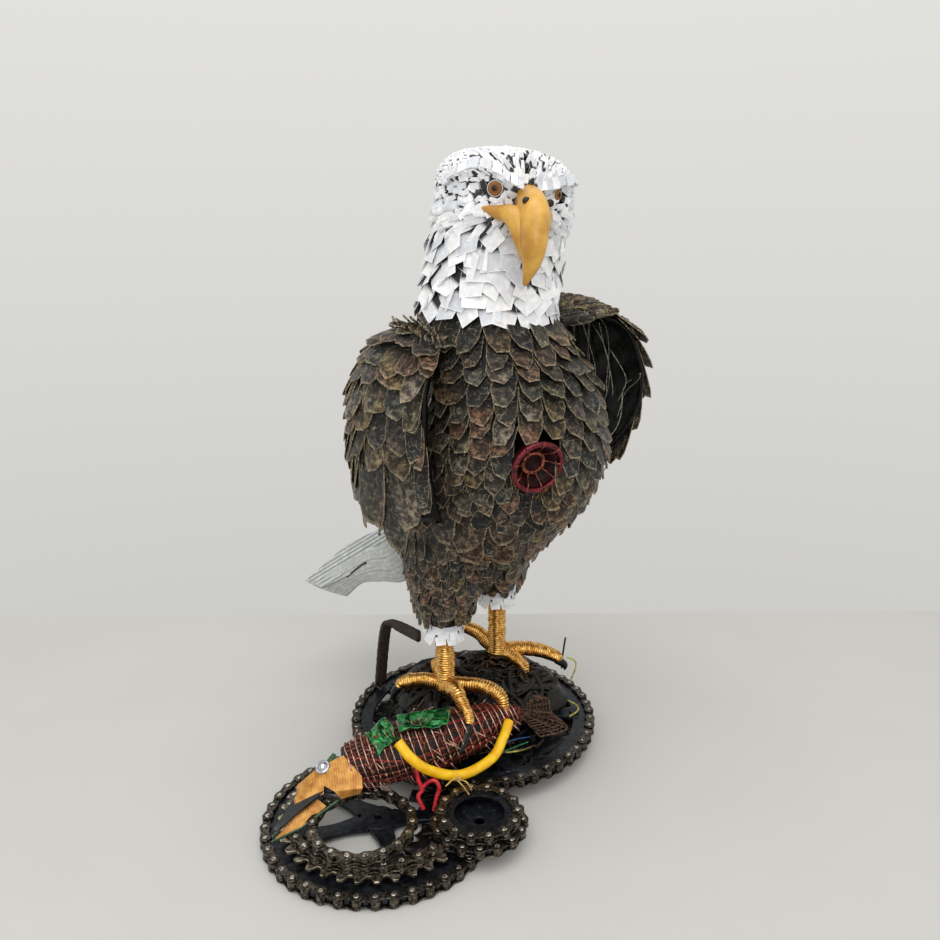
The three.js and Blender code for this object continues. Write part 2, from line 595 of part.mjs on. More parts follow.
const BEAK_SECTIONS = [[4, -40, 88, 10, 12], [4, -58, 87, 10.5, 12], [3, -74, 77, 12, 13],
  [1, -81, 61, 11.5, 11], [-3, -80, 46, 8, 7], [-6, -76, 33, 1.5, 2]];
function beakForm(grow) {
  const path = BEAK_SECTIONS.map(([x, y, z]) => vec(x, y, z));
  const curve = new THREE.CatmullRomCurve3(path);
  const halves = BEAK_SECTIONS.map(([, , , a, b]) => new THREE.Vector2(a + grow, b + grow));
  const girth = new THREE.SplineCurve(halves);
  return loft(steps(7, (i) => {
    const along = curve.getTangent(i / 6);
    const up = vec(1, 0, 0).cross(along);
    const size = girth.getPoint(i / 6);
    return ellipse(curve.getPoint(i / 6), vec(size.x, 0, 0), up.multiplyScalar(-size.y), 8);
  }));
}
const mandible = (grow) =>
  rod([vec(3, -40, 74), vec(2, -56, 69), vec(0, -70, 56)], [10 + grow, 10 + grow, 4 + grow], 6, 2);
// The mouth runs back from the beak to a corner under each eye: out to the side, y, z and radius.
const GAPE = [[31, -44, 80, 2.5], [19, -54, 78, 6], [5, -66, 70, 9]];
const gape = (hand, grow) =>
  rod(GAPE.map(([x, y, z]) => vec(FACE_X + hand * x, y, z)), GAPE.map(([, , , r]) => r + grow), 5, 2);
const EYE_OUT = 49;
const eyeBall = (hand, grow) => {
  const aim = radians(28);
  const at = vec(FACE_X + hand * EYE_OUT * Math.sin(aim), -5 - EYE_OUT * Math.cos(aim), 95);
  return new THREE.IcosahedronGeometry(9 + grow, 1).translate(at.x, at.y, at.z);
};
const headSolid = join(headForm, ...brows);
const beakParts = (grow) => [beakForm(grow), mandible(grow), gape(-1, grow), gape(1, grow)];
const letIn = [...beakParts(GAP), eyeBall(-1, GAP), eyeBall(1, GAP)];
head.updateMatrix();
const collarCut = new THREE.BoxGeometry(300, 300, 60).translate(NECK_AT.x, NECK_AT.y, NECK_PLANE + GAP - 30);
collarCut.applyMatrix4(head.matrix.clone().invert());
// The beak cuts a loose chip off the head inside the mouth, which is left out.
const larger = (a, b) => (a.volume() > b.volume() ? a : b);
const headAndChips = solid(cut(headSolid, ...letIn, collarCut)).decompose();
add(head, 'white_head', skin(headAndChips.reduce(larger)), WHITE_TILE);
const beakCutters = [eyeBall(-1, GAP), eyeBall(1, GAP)];
add(head, 'beak', cut(join(...beakParts(0)), ...beakCutters), BEAK_YELLOW);
add(head, 'right_eye', eyeBall(-1, 0), EYE_GLASS);
add(head, 'left_eye', eyeBall(1, 0), EYE_GLASS);

// The origin is the middle of the footprint box.
sculpture.updateMatrixWorld(true);
const box = new THREE.Box3().setFromObject(sculpture, true);
const middle = box.getCenter(vec(0, 0, 0));
sculpture.children.forEach((group) => group.position.sub(vec(middle.x, middle.y, box.min.z)));
sculpture.updateMatrixWorld(true);

export default sculpture;
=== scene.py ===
import math
import bpy
import numpy as np
from mathutils import Matrix, Vector


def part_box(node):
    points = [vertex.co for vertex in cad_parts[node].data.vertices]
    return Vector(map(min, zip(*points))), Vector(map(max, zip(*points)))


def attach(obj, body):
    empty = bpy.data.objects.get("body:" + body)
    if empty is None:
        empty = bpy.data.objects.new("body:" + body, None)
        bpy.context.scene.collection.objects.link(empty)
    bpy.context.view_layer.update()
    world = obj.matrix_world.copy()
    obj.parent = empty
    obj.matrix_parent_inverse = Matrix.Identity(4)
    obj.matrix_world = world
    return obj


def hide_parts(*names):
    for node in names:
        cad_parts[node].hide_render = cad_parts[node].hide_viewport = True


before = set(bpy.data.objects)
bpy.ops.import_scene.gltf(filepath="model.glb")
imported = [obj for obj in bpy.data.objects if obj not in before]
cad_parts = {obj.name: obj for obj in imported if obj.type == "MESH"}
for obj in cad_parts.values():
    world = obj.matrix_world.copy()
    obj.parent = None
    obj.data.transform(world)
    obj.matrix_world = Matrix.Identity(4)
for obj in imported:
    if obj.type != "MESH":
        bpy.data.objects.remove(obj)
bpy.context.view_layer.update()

# The studio: a pale floor with pale air behind it, a camera at the photograph's place, a broad soft light
# overhead and a weaker one from the front. Places are in millimetres from the middle of the
# front chainring, on the floor, with x to the right and y away from the camera.
MM = 0.001
ring_low, ring_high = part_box("front_chainring")
HOME = np.array([(ring_low.x + ring_high.x) / 2, (ring_low.y + ring_high.y) / 2, 0.0])


def row_frame(points):
    """Millimetres from the front ring's middle, as metres in the frame of the CAD parts."""
    return np.asarray(points, float) * MM + HOME


def weave(rows, around, closed=True):
    """Quads between neighbours of a grid of points, row after row. A closed grid joins its last column
    to its first. Faces look outwards where each row runs anticlockwise as seen from the next one."""
    r, c = np.meshgrid(np.arange(rows - 1), np.arange(around if closed else around - 1), indexing="ij")
    near = r * around + c
    far = r * around + (c + 1) % around
    return np.stack([near, far, far + around, near + around], -1).reshape(-1, 4)


def mesh_of(name, points, faces):
    """A mesh from points in millimetres and a list of face tables, each with its own number of corners."""
    mesh = bpy.data.meshes.new(name)
    corners = np.concatenate([f.ravel() for f in faces])
    sizes = np.concatenate([np.full(len(f), f.shape[1]) for f in faces])
    mesh.vertices.add(len(points))
    mesh.vertices.foreach_set("co", row_frame(points).ravel())
    mesh.loops.add(len(corners))
    mesh.loops.foreach_set("vertex_index", corners)
    mesh.polygons.add(len(sizes))
    mesh.polygons.foreach_set("loop_start", np.cumsum(sizes) - sizes)
    mesh.update(calc_edges=True)
    return mesh


FLOOR_REACH = 3000
FLOOR_BACK = 380
sheet = [(FLOOR_REACH, -FLOOR_REACH, 0), (-FLOOR_REACH, -FLOOR_REACH, 0),
         (FLOOR_REACH, FLOOR_BACK, 0), (-FLOOR_REACH, FLOOR_BACK, 0)]
studio_mesh = mesh_of("studio", sheet, [weave(2, 2, closed=False)])
studio = bpy.data.objects.new("studio", studio_mesh)
bpy.context.scene.collection.objects.link(studio)


def shade(colour):
    """A colour written as #rrggbb, as linear red, green, blue and alpha."""
    parts = np.array([int(colour[k:k + 2], 16) for k in (1, 3, 5)]) / 255
    linear = np.where(parts <= 0.04045, parts / 12.92, ((parts + 0.055) / 1.055) ** 2.4)
    return (*linear, 1.0)


def knot(tree, kind, sockets=None, **settings):
    """One shader node: its settings, then its sockets, each from a value or from another node's output."""
    made = tree.nodes.new("ShaderNode" + kind)
    for key, value in settings.items():
        setattr(made, key, value)
    for key, value in (sockets or {}).items():
        if isinstance(value, bpy.types.NodeSocket):
            tree.links.new(value, made.inputs[key])
        else:
            made.inputs[key].default_value = value
    return made


def ramp(tree, amount, stops):
    """Colours blended along an amount from 0 to 1: stops are (place, #rrggbb)."""
    made = knot(tree, "ValToRGB", {"Fac": amount})
    band = made.color_ramp
    while len(band.elements) < len(stops):
        band.elements.new(0.5)
    for element, (place, colour) in zip(band.elements, stops):
        element.position = place
        element.color = shade(colour)
    return made.outputs["Color"]


def spread(tree, amount, low, high, start=0.3, end=0.7):
    """An amount between start and end, as a number between low and high."""
    sockets = {"Value": amount, "From Min": start, "From Max": end, "To Min": low, "To Max": high}
    return knot(tree, "MapRange", sockets).outputs["Result"]


def worn(name, dark, pale, rough, metal=0.0, grain=3.0, relief=0.3, coat=0.0, tinted=False, shine=0.5):
    """A surface mottled between two colours by noise of that grain in millimetres, with its roughness
    from a coarser noise and its relief from the fine one. A tinted one is also multiplied by the colour
    that the mesh's points carry. Returns the material."""
    made = bpy.data.materials.new(name)
    made.use_nodes = True
    tree = made.node_tree
    place = knot(tree, "TexCoord").outputs["Object"]
    fine = knot(tree, "TexNoise", {"Vector": place, "Scale": 1 / (grain * MM), "Detail": 6.0})
    coarse = knot(tree, "TexNoise", {"Vector": place, "Scale": 0.2 / (grain * MM), "Detail": 3.0})
    bump = knot(tree, "Bump", {"Height": fine.outputs["Fac"], "Strength": relief,
                               "Distance": 0.2 * grain * MM})
    bsdf = tree.nodes["Principled BSDF"]
    colour = ramp(tree, fine.outputs["Fac"], [(0.36, dark), (0.64, pale)])
    if tinted:
        tint = knot(tree, "Attribute", attribute_name="tint").outputs["Color"]
        colour = knot(tree, "MixRGB", {"Fac": 1.0, "Color1": colour, "Color2": tint},
                      blend_type="MULTIPLY").outputs["Color"]
    tree.links.new(colour, bsdf.inputs["Base Color"])
    tree.links.new(spread(tree, coarse.outputs["Fac"], *rough), bsdf.inputs["Roughness"])
    tree.links.new(bump.outputs["Normal"], bsdf.inputs["Normal"])
    bsdf.inputs["Metallic"].default_value = metal
    bsdf.inputs["Coat Weight"].default_value = coat
    bsdf.inputs["Specular IOR Level"].default_value = shine
    return made


studio_mesh.materials.append(worn("studio_paint", "#c8c7c3", "#cac9c5", (0.75, 0.85), grain=120, relief=0.01))

CAMERA_AT = (72.38, -573.41, 442.95)
CAMERA_PITCH, CAMERA_ROLL = 15.515, 0.4  # degrees, below level and clockwise
FOCAL_PIXELS = 870
PHOTO_PIXELS = 940
camera = bpy.data.objects.new("camera", bpy.data.cameras.new("camera"))
camera.data.lens = camera.data.sensor_width * FOCAL_PIXELS / PHOTO_PIXELS
tip_up = Matrix.Rotation(math.radians(90 - CAMERA_PITCH), 4, "X")
lean_over = Matrix.Rotation(math.radians(-CAMERA_ROLL), 4, "Z")
camera.matrix_world = Matrix.Translation(row_frame(CAMERA_AT)) @ tip_up @ lean_over
bpy.context.scene.collection.objects.link(camera)
bpy.context.scene.camera = camera


def lamp(name, at, aim, size, watts):
    """A square soft light at one place in millimetres, turned towards another."""
    light = bpy.data.objects.new(name, bpy.data.lights.new(name, "AREA"))
    light.data.size = size * MM
    light.data.energy = watts
    reach = np.array(aim, float) - np.array(at, float)
    turn_to = Vector(reach).to_track_quat("-Z", "Y").to_matrix().to_4x4()
    light.matrix_world = Matrix.Translation(row_frame(at)) @ turn_to
    bpy.context.scene.collection.objects.link(light)


lamp("overhead", at=(20, -350, 1500), aim=(60, 80, 150), size=1300, watts=8.5)
lamp("front_fill", at=(0, -1300, 850), aim=(70, 80, 260), size=1000, watts=5.5)
AIR_LOW, AIR_HIGH = 0.68, 0.86  # how bright the air is low down, behind the floor's edge, and high up
RISE_LOW, RISE_HIGH = -0.42, 0.22  # the rise of a line of sight at which it is so bright
world = bpy.data.worlds.new("studio_air")
world.use_nodes = True
air = world.node_tree
rise = knot(air, "SeparateXYZ", {"Vector": knot(air, "TexCoord").outputs["Generated"]}).outputs["Z"]
backdrop = air.nodes["Background"]
backdrop.inputs["Color"].default_value = shade("#f2f1ee")
air.links.new(spread(air, rise, AIR_LOW, AIR_HIGH, RISE_LOW, RISE_HIGH), backdrop.inputs["Strength"])
bpy.context.scene.world = world
bpy.context.scene.view_settings.view_transform = "Standard"

# The front chain: a bicycle chain of pressed side plates, rollers and pins, dark with grease and rubbed
# bright on the pins, laid flat round its chainring. Every other link has its plates outside the others.
CHAIN_PITCH = 12.7
PIN_OUT = 0.6
END_RADIUS = 4.2
WAIST = 2.7
ROLLER_RADIUS = 3.9
PIN_RADIUS = 1.9
PLATE_SHARE = 0.12  # a side plate's thickness, as a share of the chain's width
chain_steel = worn("chain_steel", "#4a443e", "#ffffff", (0.22, 0.42), metal=0.9, grain=2.0, relief=0.2,
                   tinted=True)


def rgb(colour):
    """A colour written as #rrggbb, as linear red, green and blue."""
    return np.array(shade(colour)[:3])


PLATE_COLOUR, ROLLER_COLOUR, PIN_COLOUR = rgb("#5b554c"), rgb("#6d655a"), rgb("#c3bcb0")


def lay(name, shape, finish, slot, *nodes, tint=None, uv=None, smooth=True):
    """Puts a shape, its points in millimetres and its list of faces, into a piece that rides on the root
    and stands for the named CAD nodes. tint is a colour and uv a place on the pattern, for each point."""
    points, faces = shape
    mesh = mesh_of(name, points, faces)
    if tint is not None:
        colours = np.concatenate([tint, np.ones((len(tint), 1))], 1)
        mesh.attributes.new("tint", "FLOAT_COLOR", "POINT").data.foreach_set("color", colours.ravel())
    if uv is not None:
        corner = np.zeros(len(mesh.loops), np.int32)
        mesh.loops.foreach_get("vertex_index", corner)
        mesh.uv_layers.new(name="UVMap").data.foreach_set("uv", uv[corner].ravel())
    mesh.polygons.foreach_set("use_smooth", np.full(len(mesh.polygons), smooth))
    mesh.materials.append(finish)
    piece = bpy.data.objects.new(name, mesh)
    bpy.context.scene.collection.objects.link(piece)
    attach(piece, "root")
    if nodes:
        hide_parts(*nodes)
    return piece


def bundle(shapes):
    """Several shapes as one: their points one after another, with the faces' numbers moved along."""
    starts = np.cumsum([0] + [len(points) for points, faces in shapes])
    faces = [f + start for (points, table), start in zip(shapes, starts) for f in table]
    return np.concatenate([points for points, table in shapes]), faces


def stack(rings, ends=True):
    """A skin over rings of points, an array of rings by points by 3, with a flat face on each end."""
    count, around = rings.shape[:2]
    faces = [weave(count, around)]
    if ends:
        loop = np.arange(around)
        faces += [loop[::-1][None], loop[None] + (count - 1) * around]
    return rings.reshape(-1, 3), faces


def slab(outline, low, high, bevel):
    """A flat outline of x and y raised from low to high, its edges bevelled by drawing the outline in."""
    middle = outline.mean(0)
    reach = outline - middle
    inner = middle + reach * (1 - bevel / np.linalg.norm(reach, axis=1, keepdims=True))
    levels = [(inner, low), (outline, low + bevel), (outline, high - bevel), (inner, high)]
    rings = [np.concatenate([o, np.full((len(o), 1), z)], 1) for o, z in levels]
    return stack(np.array(rings))


def repeat(shape, turns, places):
    """Copies of a shape, each turned about the vertical by an angle and moved to a place."""
    points, faces = shape
    c, s, o = np.cos(turns), np.sin(turns), np.zeros_like(turns)
    axes = np.stack([np.stack([c, s, o], -1), np.stack([-s, c, o], -1), np.stack([o, o, o + 1], -1)], 1)
    copies = np.asarray(places)[:, None] + points @ axes
    step = (np.arange(len(turns)) * len(points))[:, None, None]
    return copies.reshape(-1, 3), [(f[None] + step).reshape(-1, f.shape[1]) for f in faces]


def bearings(count):
    """Angles evenly round a full turn."""
    return np.arange(count) * 2 * math.pi / count


def disc(radius, low, high, bevel, sides):
    """A round slab about the vertical axis."""
    a = bearings(sides)
    return slab(radius * np.stack([np.cos(a), np.sin(a)], -1), low, high, bevel)


def side_plate(low, high):
    """One pressed plate from a pin at the origin to the next along x: two round ends and a waist."""
    left = np.radians(np.linspace(62, 298, 8))
    right = np.radians(np.linspace(-118, 118, 8))
    ends = [np.stack([END_RADIUS * np.cos(a) + x, END_RADIUS * np.sin(a)], -1)
            for a, x in ((left, 0), (right, CHAIN_PITCH))]
    waist = [np.array([[CHAIN_PITCH / 2, y]]) for y in (-WAIST, WAIST)]
    return slab(np.concatenate([ends[0], waist[0], ends[1], waist[1]]), low, high, 0.25)


def chain(teeth, at, low, width, bright, first=0.0, links=None):
    """Links whose pins stand on a circle of the tooth count, from an angle onwards, a whole loop or less.
    Plates come in pairs about the middle height, and rollers stand between the inner plates. Returns the
    shape and each point's colour, brighter or darker by a factor."""
    links = links or teeth
    loop = links == teeth
    radius = CHAIN_PITCH / (2 * math.sin(math.pi / teeth))
    plate = PLATE_SHARE * width
    k = np.arange(links + (0 if loop else 1))
    angle = first + 2 * math.pi * k / teeth
    pins = np.stack([at[0] + radius * np.cos(angle), at[1] + radius * np.sin(angle), 0 * angle + low], -1)
    way = angle[:links] + math.pi / 2 + math.pi / teeth
    shapes, colours = [], []
    for turn_of, inset in ((0, PIN_OUT), (1, PIN_OUT + plate)):
        chosen = np.arange(turn_of, links, 2)
        for base in (inset, width - inset - plate):
            shapes.append(repeat(side_plate(base, base + plate - 0.05), way[chosen], pins[chosen]))
            # The inner plates are a quarter darker than the outer ones: painted shade where they sit between
            # the outer plates.
            colours.append(PLATE_COLOUR * (1 - 0.25 * turn_of))
    inside = PIN_OUT + 2 * plate
    shapes.append(repeat(disc(ROLLER_RADIUS, inside, width - inside, 0.3, 12), angle, pins))
    shapes.append(repeat(disc(PIN_RADIUS, 0, width, 0.35, 9), angle, pins))
    colours += [ROLLER_COLOUR, PIN_COLOUR]
    tint = np.concatenate([np.tile(c * bright, (len(points), 1)) for (points, f), c in zip(shapes, colours)])
    return bundle(shapes), tint


def lay_chain(name, made, node):
    """Puts a chain with its colours in place of a CAD node."""
    lay(name, made[0], chain_steel, "chain_steel", node, tint=made[1], smooth=False)


FRONT_TEETH = 42
WIDE_CHAIN = 10.0
FRONT_AT = (0, 0)
lay_chain("front_chain_links", chain(FRONT_TEETH, FRONT_AT, 0, WIDE_CHAIN, bright=1.4), "front_chain")

# The front chainring: a black anodised alloy ring with teeth between the rollers, arms round the
# windows and a bolt at the root of each arm. It lies in the middle of its chain's width.
RING_THICK = 3.4
RING_UP = 3.3  # from the underside of the chain to the ring's
TOOTH_SEAT = 4.4  # how far the gaps between teeth reach inside the circle of the pins
ARM_HALF, ARM_FLARE = 6.2, 3.5  # half an arm's width at its middle, and how much more at its ends
BOLT_RADIUS = 4.6
black_alloy = worn("black_alloy", "#0c0e12", "#2b2f37", (0.25, 0.45), metal=0.6, grain=4, relief=0.15)


def hoop(outer, inner, low, high, bevel, at):
    """A flat ring: a bevelled rectangle carried round the vertical, its two edges given for each angle."""
    a = bearings(len(outer))
    inner = np.broadcast_to(inner, outer.shape)
    edges = [(inner + bevel, low), (outer - bevel, low), (outer, low + bevel), (outer, high - bevel),
             (outer - bevel, high), (inner + bevel, high), (inner, high - bevel), (inner, low + bevel)]
    rim = np.stack([np.stack([at[0] + r * np.cos(a), at[1] + r * np.sin(a), 0 * a + z], -1)
                    for r, z in edges])
    closed = np.concatenate([rim, rim[:1]])
    points, faces = stack(closed, ends=False)
    loop = np.where(faces[0] >= len(rim) * len(a), faces[0] - len(rim) * len(a), faces[0])
    return points[:len(rim) * len(a)], [loop[:, ::-1]]


def toothed(teeth, seat, tip):
    """Radii round a sprocket, eight to a tooth, low at each roller and high between two."""
    radius = CHAIN_PITCH / (2 * math.sin(math.pi / teeth))
    k = np.arange(8 * teeth)
    rise = np.clip(0.5 - 0.95 * np.cos(2 * math.pi * k / 8), 0, 1)
    return radius - seat + (seat + tip) * rise


def chainring(teeth, at, low, window_in, window_out, bore, turns):
    """The toothed rim, the hub and arms between them at the angles turns, with a bolt head where each arm
    meets the rim."""
    high = low + RING_THICK
    shapes = [hoop(toothed(teeth, TOOTH_SEAT, tip=1.5), window_out, low, high, 0.4, at),
              hoop(np.full(64, float(window_in)), bore, low - 0.6, high + 0.6, 0.5, at)]
    turns = np.radians(turns)
    reach = np.linspace(window_in - 3, window_out + 4, 9)
    half = ARM_HALF + ARM_FLARE * ((reach - reach.mean()) / (reach[-1] - reach.mean())) ** 2
    outline = np.concatenate([np.stack([reach, -half], -1), np.stack([reach, half], -1)[::-1]])
    middle = np.array([[at[0], at[1], 0.0]] * len(turns))
    shapes.append(repeat(slab(outline, low + 0.1, high + 0.3, 0.4), turns, middle))
    bolt = disc(BOLT_RADIUS, high - 0.2, high + 1.5, 0.6, 14)
    shapes.append(repeat((bolt[0] + [window_out + 1.5, 0, 0], bolt[1]), turns, middle))
    return bundle(shapes)


FRONT_ARMS = (5, 141, 202, 290)  # degrees
front_ring = chainring(FRONT_TEETH, FRONT_AT, RING_UP, window_in=14, window_out=52, bore=3, turns=FRONT_ARMS)
lay("front_ring", front_ring, black_alloy, "black_alloy", "front_chainring", smooth=False)

# The bare steel sprocket: it lies on the front chain, tarnished to a dull bronze, with its teeth showing.
SPROCKET_TEETH = 36
SPROCKET_LOW, SPROCKET_HIGH = 10.3, 12.8
SPROCKET_BORE = 61
bare_steel = worn("bare_steel", "#3a342c", "#d0c2ac", (0.22, 0.42), metal=0.9, grain=3, relief=0.2)
sprocket_edge = toothed(SPROCKET_TEETH, seat=3, tip=3)
sprocket = hoop(sprocket_edge, SPROCKET_BORE, SPROCKET_LOW, SPROCKET_HIGH, 0.4, FRONT_AT)
lay("sprocket_plate", sprocket, bare_steel, "bare_steel", "steel_sprocket", smooth=False)

# Narrow chains above: an open stretch along the front, a small loop on it, and two loops with their
# cogs at the right, one on the other.
NARROW_CHAIN = 7.5
LEVEL_1 = 13.1
LEVEL_2 = 20.9
UPPER_AT = (-8, -31)
SIDE_AT = (77.5, -19)
UPPER_TEETH = 18
MIDDLE_TEETH = 33
MIDDLE_FIRST, MIDDLE_LAST = math.radians(170), math.radians(312)
middle_links = round((MIDDLE_LAST - MIDDLE_FIRST) * MIDDLE_TEETH / (2 * math.pi))
stretch = chain(MIDDLE_TEETH, FRONT_AT, LEVEL_1, NARROW_CHAIN, 2.0, MIDDLE_FIRST, middle_links)
lay_chain("middle_chain_links", stretch, "middle_chain")
small_loop = chain(UPPER_TEETH, UPPER_AT, LEVEL_2, NARROW_CHAIN, bright=1.8)
lay_chain("upper_chain_links", small_loop, "upper_chain")

COG_THICK = 2.6
COG_UP = 2.4  # from the underside of the chain to the cog's
RIVETS = 8
SIDE_COGS = [("lower", 16, LEVEL_1, 0.15), ("upper", 14, LEVEL_2, 0.78)]  # teeth, height, open share


def cog(teeth, at, low, open_share):
    """A small cog inside its chain: a toothed plate, open in its middle to a share of its radius, with
    rivets round it."""
    high = low + COG_THICK
    reach = toothed(teeth, TOOTH_SEAT, tip=1.0)
    bore = reach.min() * open_share
    shapes = [hoop(reach, bore, low, high, 0.3, at)]
    turns = bearings(RIVETS)
    rivet = disc(1.5, high - 0.2, high + 0.8, 0.3, 9)
    places = np.array([[at[0], at[1], 0.0]] * RIVETS)
    shapes.append(repeat((rivet[0] + [(bore + reach.min()) / 2, 0, 0], rivet[1]), turns, places))
    return bundle(shapes)


for level, teeth, low, open_share in SIDE_COGS:
    side_loop = chain(teeth, SIDE_AT, low, NARROW_CHAIN, bright=1.6)
    lay_chain(f"side_links_{level}", side_loop, f"side_chain_{level}")
    plate = cog(teeth, SIDE_AT, low + COG_UP, open_share)
    lay(f"side_cog_{level}_plate", plate, black_alloy, "black_alloy", f"side_cog_{level}", smooth=False)

# The rear chain and chainring carry the rubber mound and the eagle's feet.
REAR_AT = (73.5, 128)
REAR_TEETH = 52
REAR_ARMS = range(0, 360, 72)
lay_chain("rear_chain_links", chain(REAR_TEETH, REAR_AT, LEVEL_1, WIDE_CHAIN, bright=1.0), "rear_chain")
rear_ring = chainring(REAR_TEETH, REAR_AT, LEVEL_1 + RING_UP, window_in=54, window_out=90, bore=46,
                      turns=REAR_ARMS)
lay("rear_ring", rear_ring, black_alloy, "black_alloy", "rear_chainring", smooth=False)

# The mound: strips of black rubber heaped through the rear ring and pressed round the feet.
rubber = worn("rubber", "#030303", "#12100f", (0.2, 0.55), grain=5, relief=0.7, shine=0.3)


def ripple(points, size, seed, waves=9):
    """Lumps between about -1 and 1: sines along directions drawn from a seed, with wavelengths near size."""
    draw = np.random.default_rng(seed)
    ways = draw.normal(size=(waves, 3)) * 2 * math.pi / size / 1.6
    return np.sin(points @ ways.T + draw.uniform(0, 6.28, waves)).mean(-1) * 1.8


def smooth_curve(points, t):
    """The Catmull-Rom curve through the rows of points, at amounts t from 0 to 1: on each span the cubic
    whose slope at a point is half the step between that point's neighbours."""
    p = np.asarray(points, float)
    p = np.concatenate([[2 * p[0] - p[1]], p, [2 * p[-1] - p[-2]]])
    s = np.clip(np.asarray(t, float), 0, 1) * (len(p) - 3)
    i = np.minimum(s.astype(int), len(p) - 4)
    f = (s - i)[..., None]
    a, b, c, d = p[i], p[i + 1], p[i + 2], p[i + 3]
    return b + 0.5 * f * (c - a + f * (2 * a - 5 * b + 4 * c - d + f * (3 * (b - c) + d - a)))


def unit(vectors):
    """Vectors of length one."""
    return vectors / np.linalg.norm(vectors, axis=-1, keepdims=True)


HEAP_AT = np.array([80, 142])
HEAP_HALF = (76, 60)
HEAP_LEVELS = np.array([  # height, half width and half depth
    [0, 60, 60], [12.8, 60, 60], [13, 44, 44], [23.2, 44, 44], [23.6, 74, 58], [33, 76, 59],
    [42, 64, 48], [50, 42, 34], [60, 22, 20], [64, 3, 3]])
fill = np.linspace(0, 1, 6)[:-1, None]
steps = [low + fill * (high - low) for low, high in zip(HEAP_LEVELS, HEAP_LEVELS[1:])]
levels = np.concatenate([*steps, HEAP_LEVELS[-1:]])
turns = bearings(72)
lumps = 1 + 0.05 * np.sin(3 * turns + 0.05 * levels[:, :1]) + 0.035 * np.sin(5 * turns - 0.09 * levels[:, :1])
centre = np.where(levels[:, :1] < 13, [[86, 143]], np.where(levels[:, :1] < 23.4, [REAR_AT], [HEAP_AT]))
heap = np.stack([centre[:, :1] + levels[:, 1:2] * lumps * np.cos(turns),
                 centre[:, 1:] + levels[:, 2:] * lumps * np.sin(turns), 0 * turns + levels[:, :1]], -1)
swell = 2.4 * ripple(heap, 14, 3) + 1.3 * ripple(heap, 6, 4)
away = heap - np.concatenate([centre, levels[:, :1] * 0 + 20], 1)[:, None]
lift = np.clip((heap[..., 2:] - 24) / 8, 0, 1)
heap += unit(away) * swell[..., None] * lift
lay("rubber_heap", stack(heap), rubber, "rubber", "rubber_mound")


def ribbon(path, across, thick):
    """A flat strip: a rectangle carried along a path, its half width given as a vector at each point."""
    face = thick / 2 * unit(np.cross(across, np.gradient(path, axis=0)))
    return stack(np.stack([path - across - face, path + across - face, path + across + face,
                           path - across + face], 1))


def heap_height(x, y):
    """Roughly how high the heap stands at a place: a dome over an ellipse, with a flat-sided rim."""
    r = np.hypot((x - HEAP_AT[0]) / HEAP_HALF[0], (y - HEAP_AT[1]) / HEAP_HALF[1])
    return np.interp(r, [0, 0.28, 0.55, 0.84, 0.97, 1.05], [64, 60, 50, 42, 32, 24])


def scattered(count, places, height, length, width, rise, seed):
    """Flat strips, each bent to a bow and twisted a little, over a height given for each place. places is
    a function of the random source that gives the middle of one strip."""
    draw = np.random.default_rng(seed)
    made = []
    for k in range(count):
        start = places(draw)
        heading = draw.uniform(0, 2 * math.pi)
        s = np.linspace(-0.5, 0.5, 11)
        bend = draw.uniform(-0.9, 0.9)
        reach = draw.uniform(*length)
        xy = start + reach * np.stack([s * math.cos(heading) - bend * s**2 * math.sin(heading),
                                       s * math.sin(heading) + bend * s**2 * math.cos(heading)], -1)
        arch = rise * (0.25 - s**2) * draw.uniform(-1, 4)
        z = height(xy[:, 0], xy[:, 1]) + 1.5 + arch + draw.uniform(0, 0.6 * rise)
        side = np.array([-math.sin(heading), math.cos(heading), draw.uniform(-0.6, 0.6)])
        side = side * draw.uniform(*width)
        made.append(ribbon(np.stack([*xy.T, z], -1), np.broadcast_to(side, (11, 3)), 1.4))
    return made


def on_heap(draw):
    """A chance place on the heap."""
    angle = draw.uniform(0, 2 * math.pi)
    return HEAP_AT + np.sqrt(draw.uniform(0.05, 1)) * np.array([66 * math.cos(angle), 52 * math.sin(angle)])


def in_ring(draw):
    """A chance place in the rear ring's windows."""
    angle = draw.uniform(0, 2 * math.pi)
    return REAR_AT + draw.uniform(40, 84) * np.array([math.cos(angle), math.sin(angle)])


def under_fish_shadow(draw):
    """A chance place on the floor inside the front ring, below the fish, for dark strips that are partly
    painted shadow.
    """
    angle = draw.uniform(-0.8, 0.7)
    return FRONT_AT + draw.uniform(42, 58) * np.array([math.cos(angle), math.sin(angle)])


strips = scattered(90, on_heap, heap_height, length=(22, 48), width=(2.5, 5), rise=3.0, seed=7)
strips += scattered(250, in_ring, lambda x, y: 0 * x + 9, length=(22, 40), width=(4, 7), rise=1.2, seed=8)
# Dark rubber strips on the floor below the fish: partly rubber, partly painted shadow where the fish and the
# ring shade the floor.
strips += scattered(34, under_fish_shadow, lambda x, y: 0 * x + 2, length=(18, 32), width=(4, 6), rise=1.0, seed=9)
lay("rubber_strips", bundle(strips), rubber, "rubber")

# Fine black and brown wire lies in loops all over the mound and the rear ring.
black_wire = worn("black_wire", "#1c130e", "#6e503c", (0.3, 0.5), metal=0.5, grain=3, relief=0.1)


def tube(path, radius, sides=6, up=(0, 0, 1)):
    """A round section carried along a path. The radius is one number, or one for each point of each
    ring; the ring starts at right angles to up."""
    along = unit(np.gradient(path, axis=0))
    side = np.cross(along, up)
    side /= np.linalg.norm(side, axis=1, keepdims=True) + 1e-9
    other = np.cross(along, side)
    a = bearings(sides)
    ring = np.cos(a)[None, :, None] * side[:, None] + np.sin(a)[None, :, None] * other[:, None]
    size = np.asarray(radius, float)
    size = size[:, None] if size.ndim == 1 else size
    return stack(path[:, None] + ring * (size[..., None] if size.ndim else size))


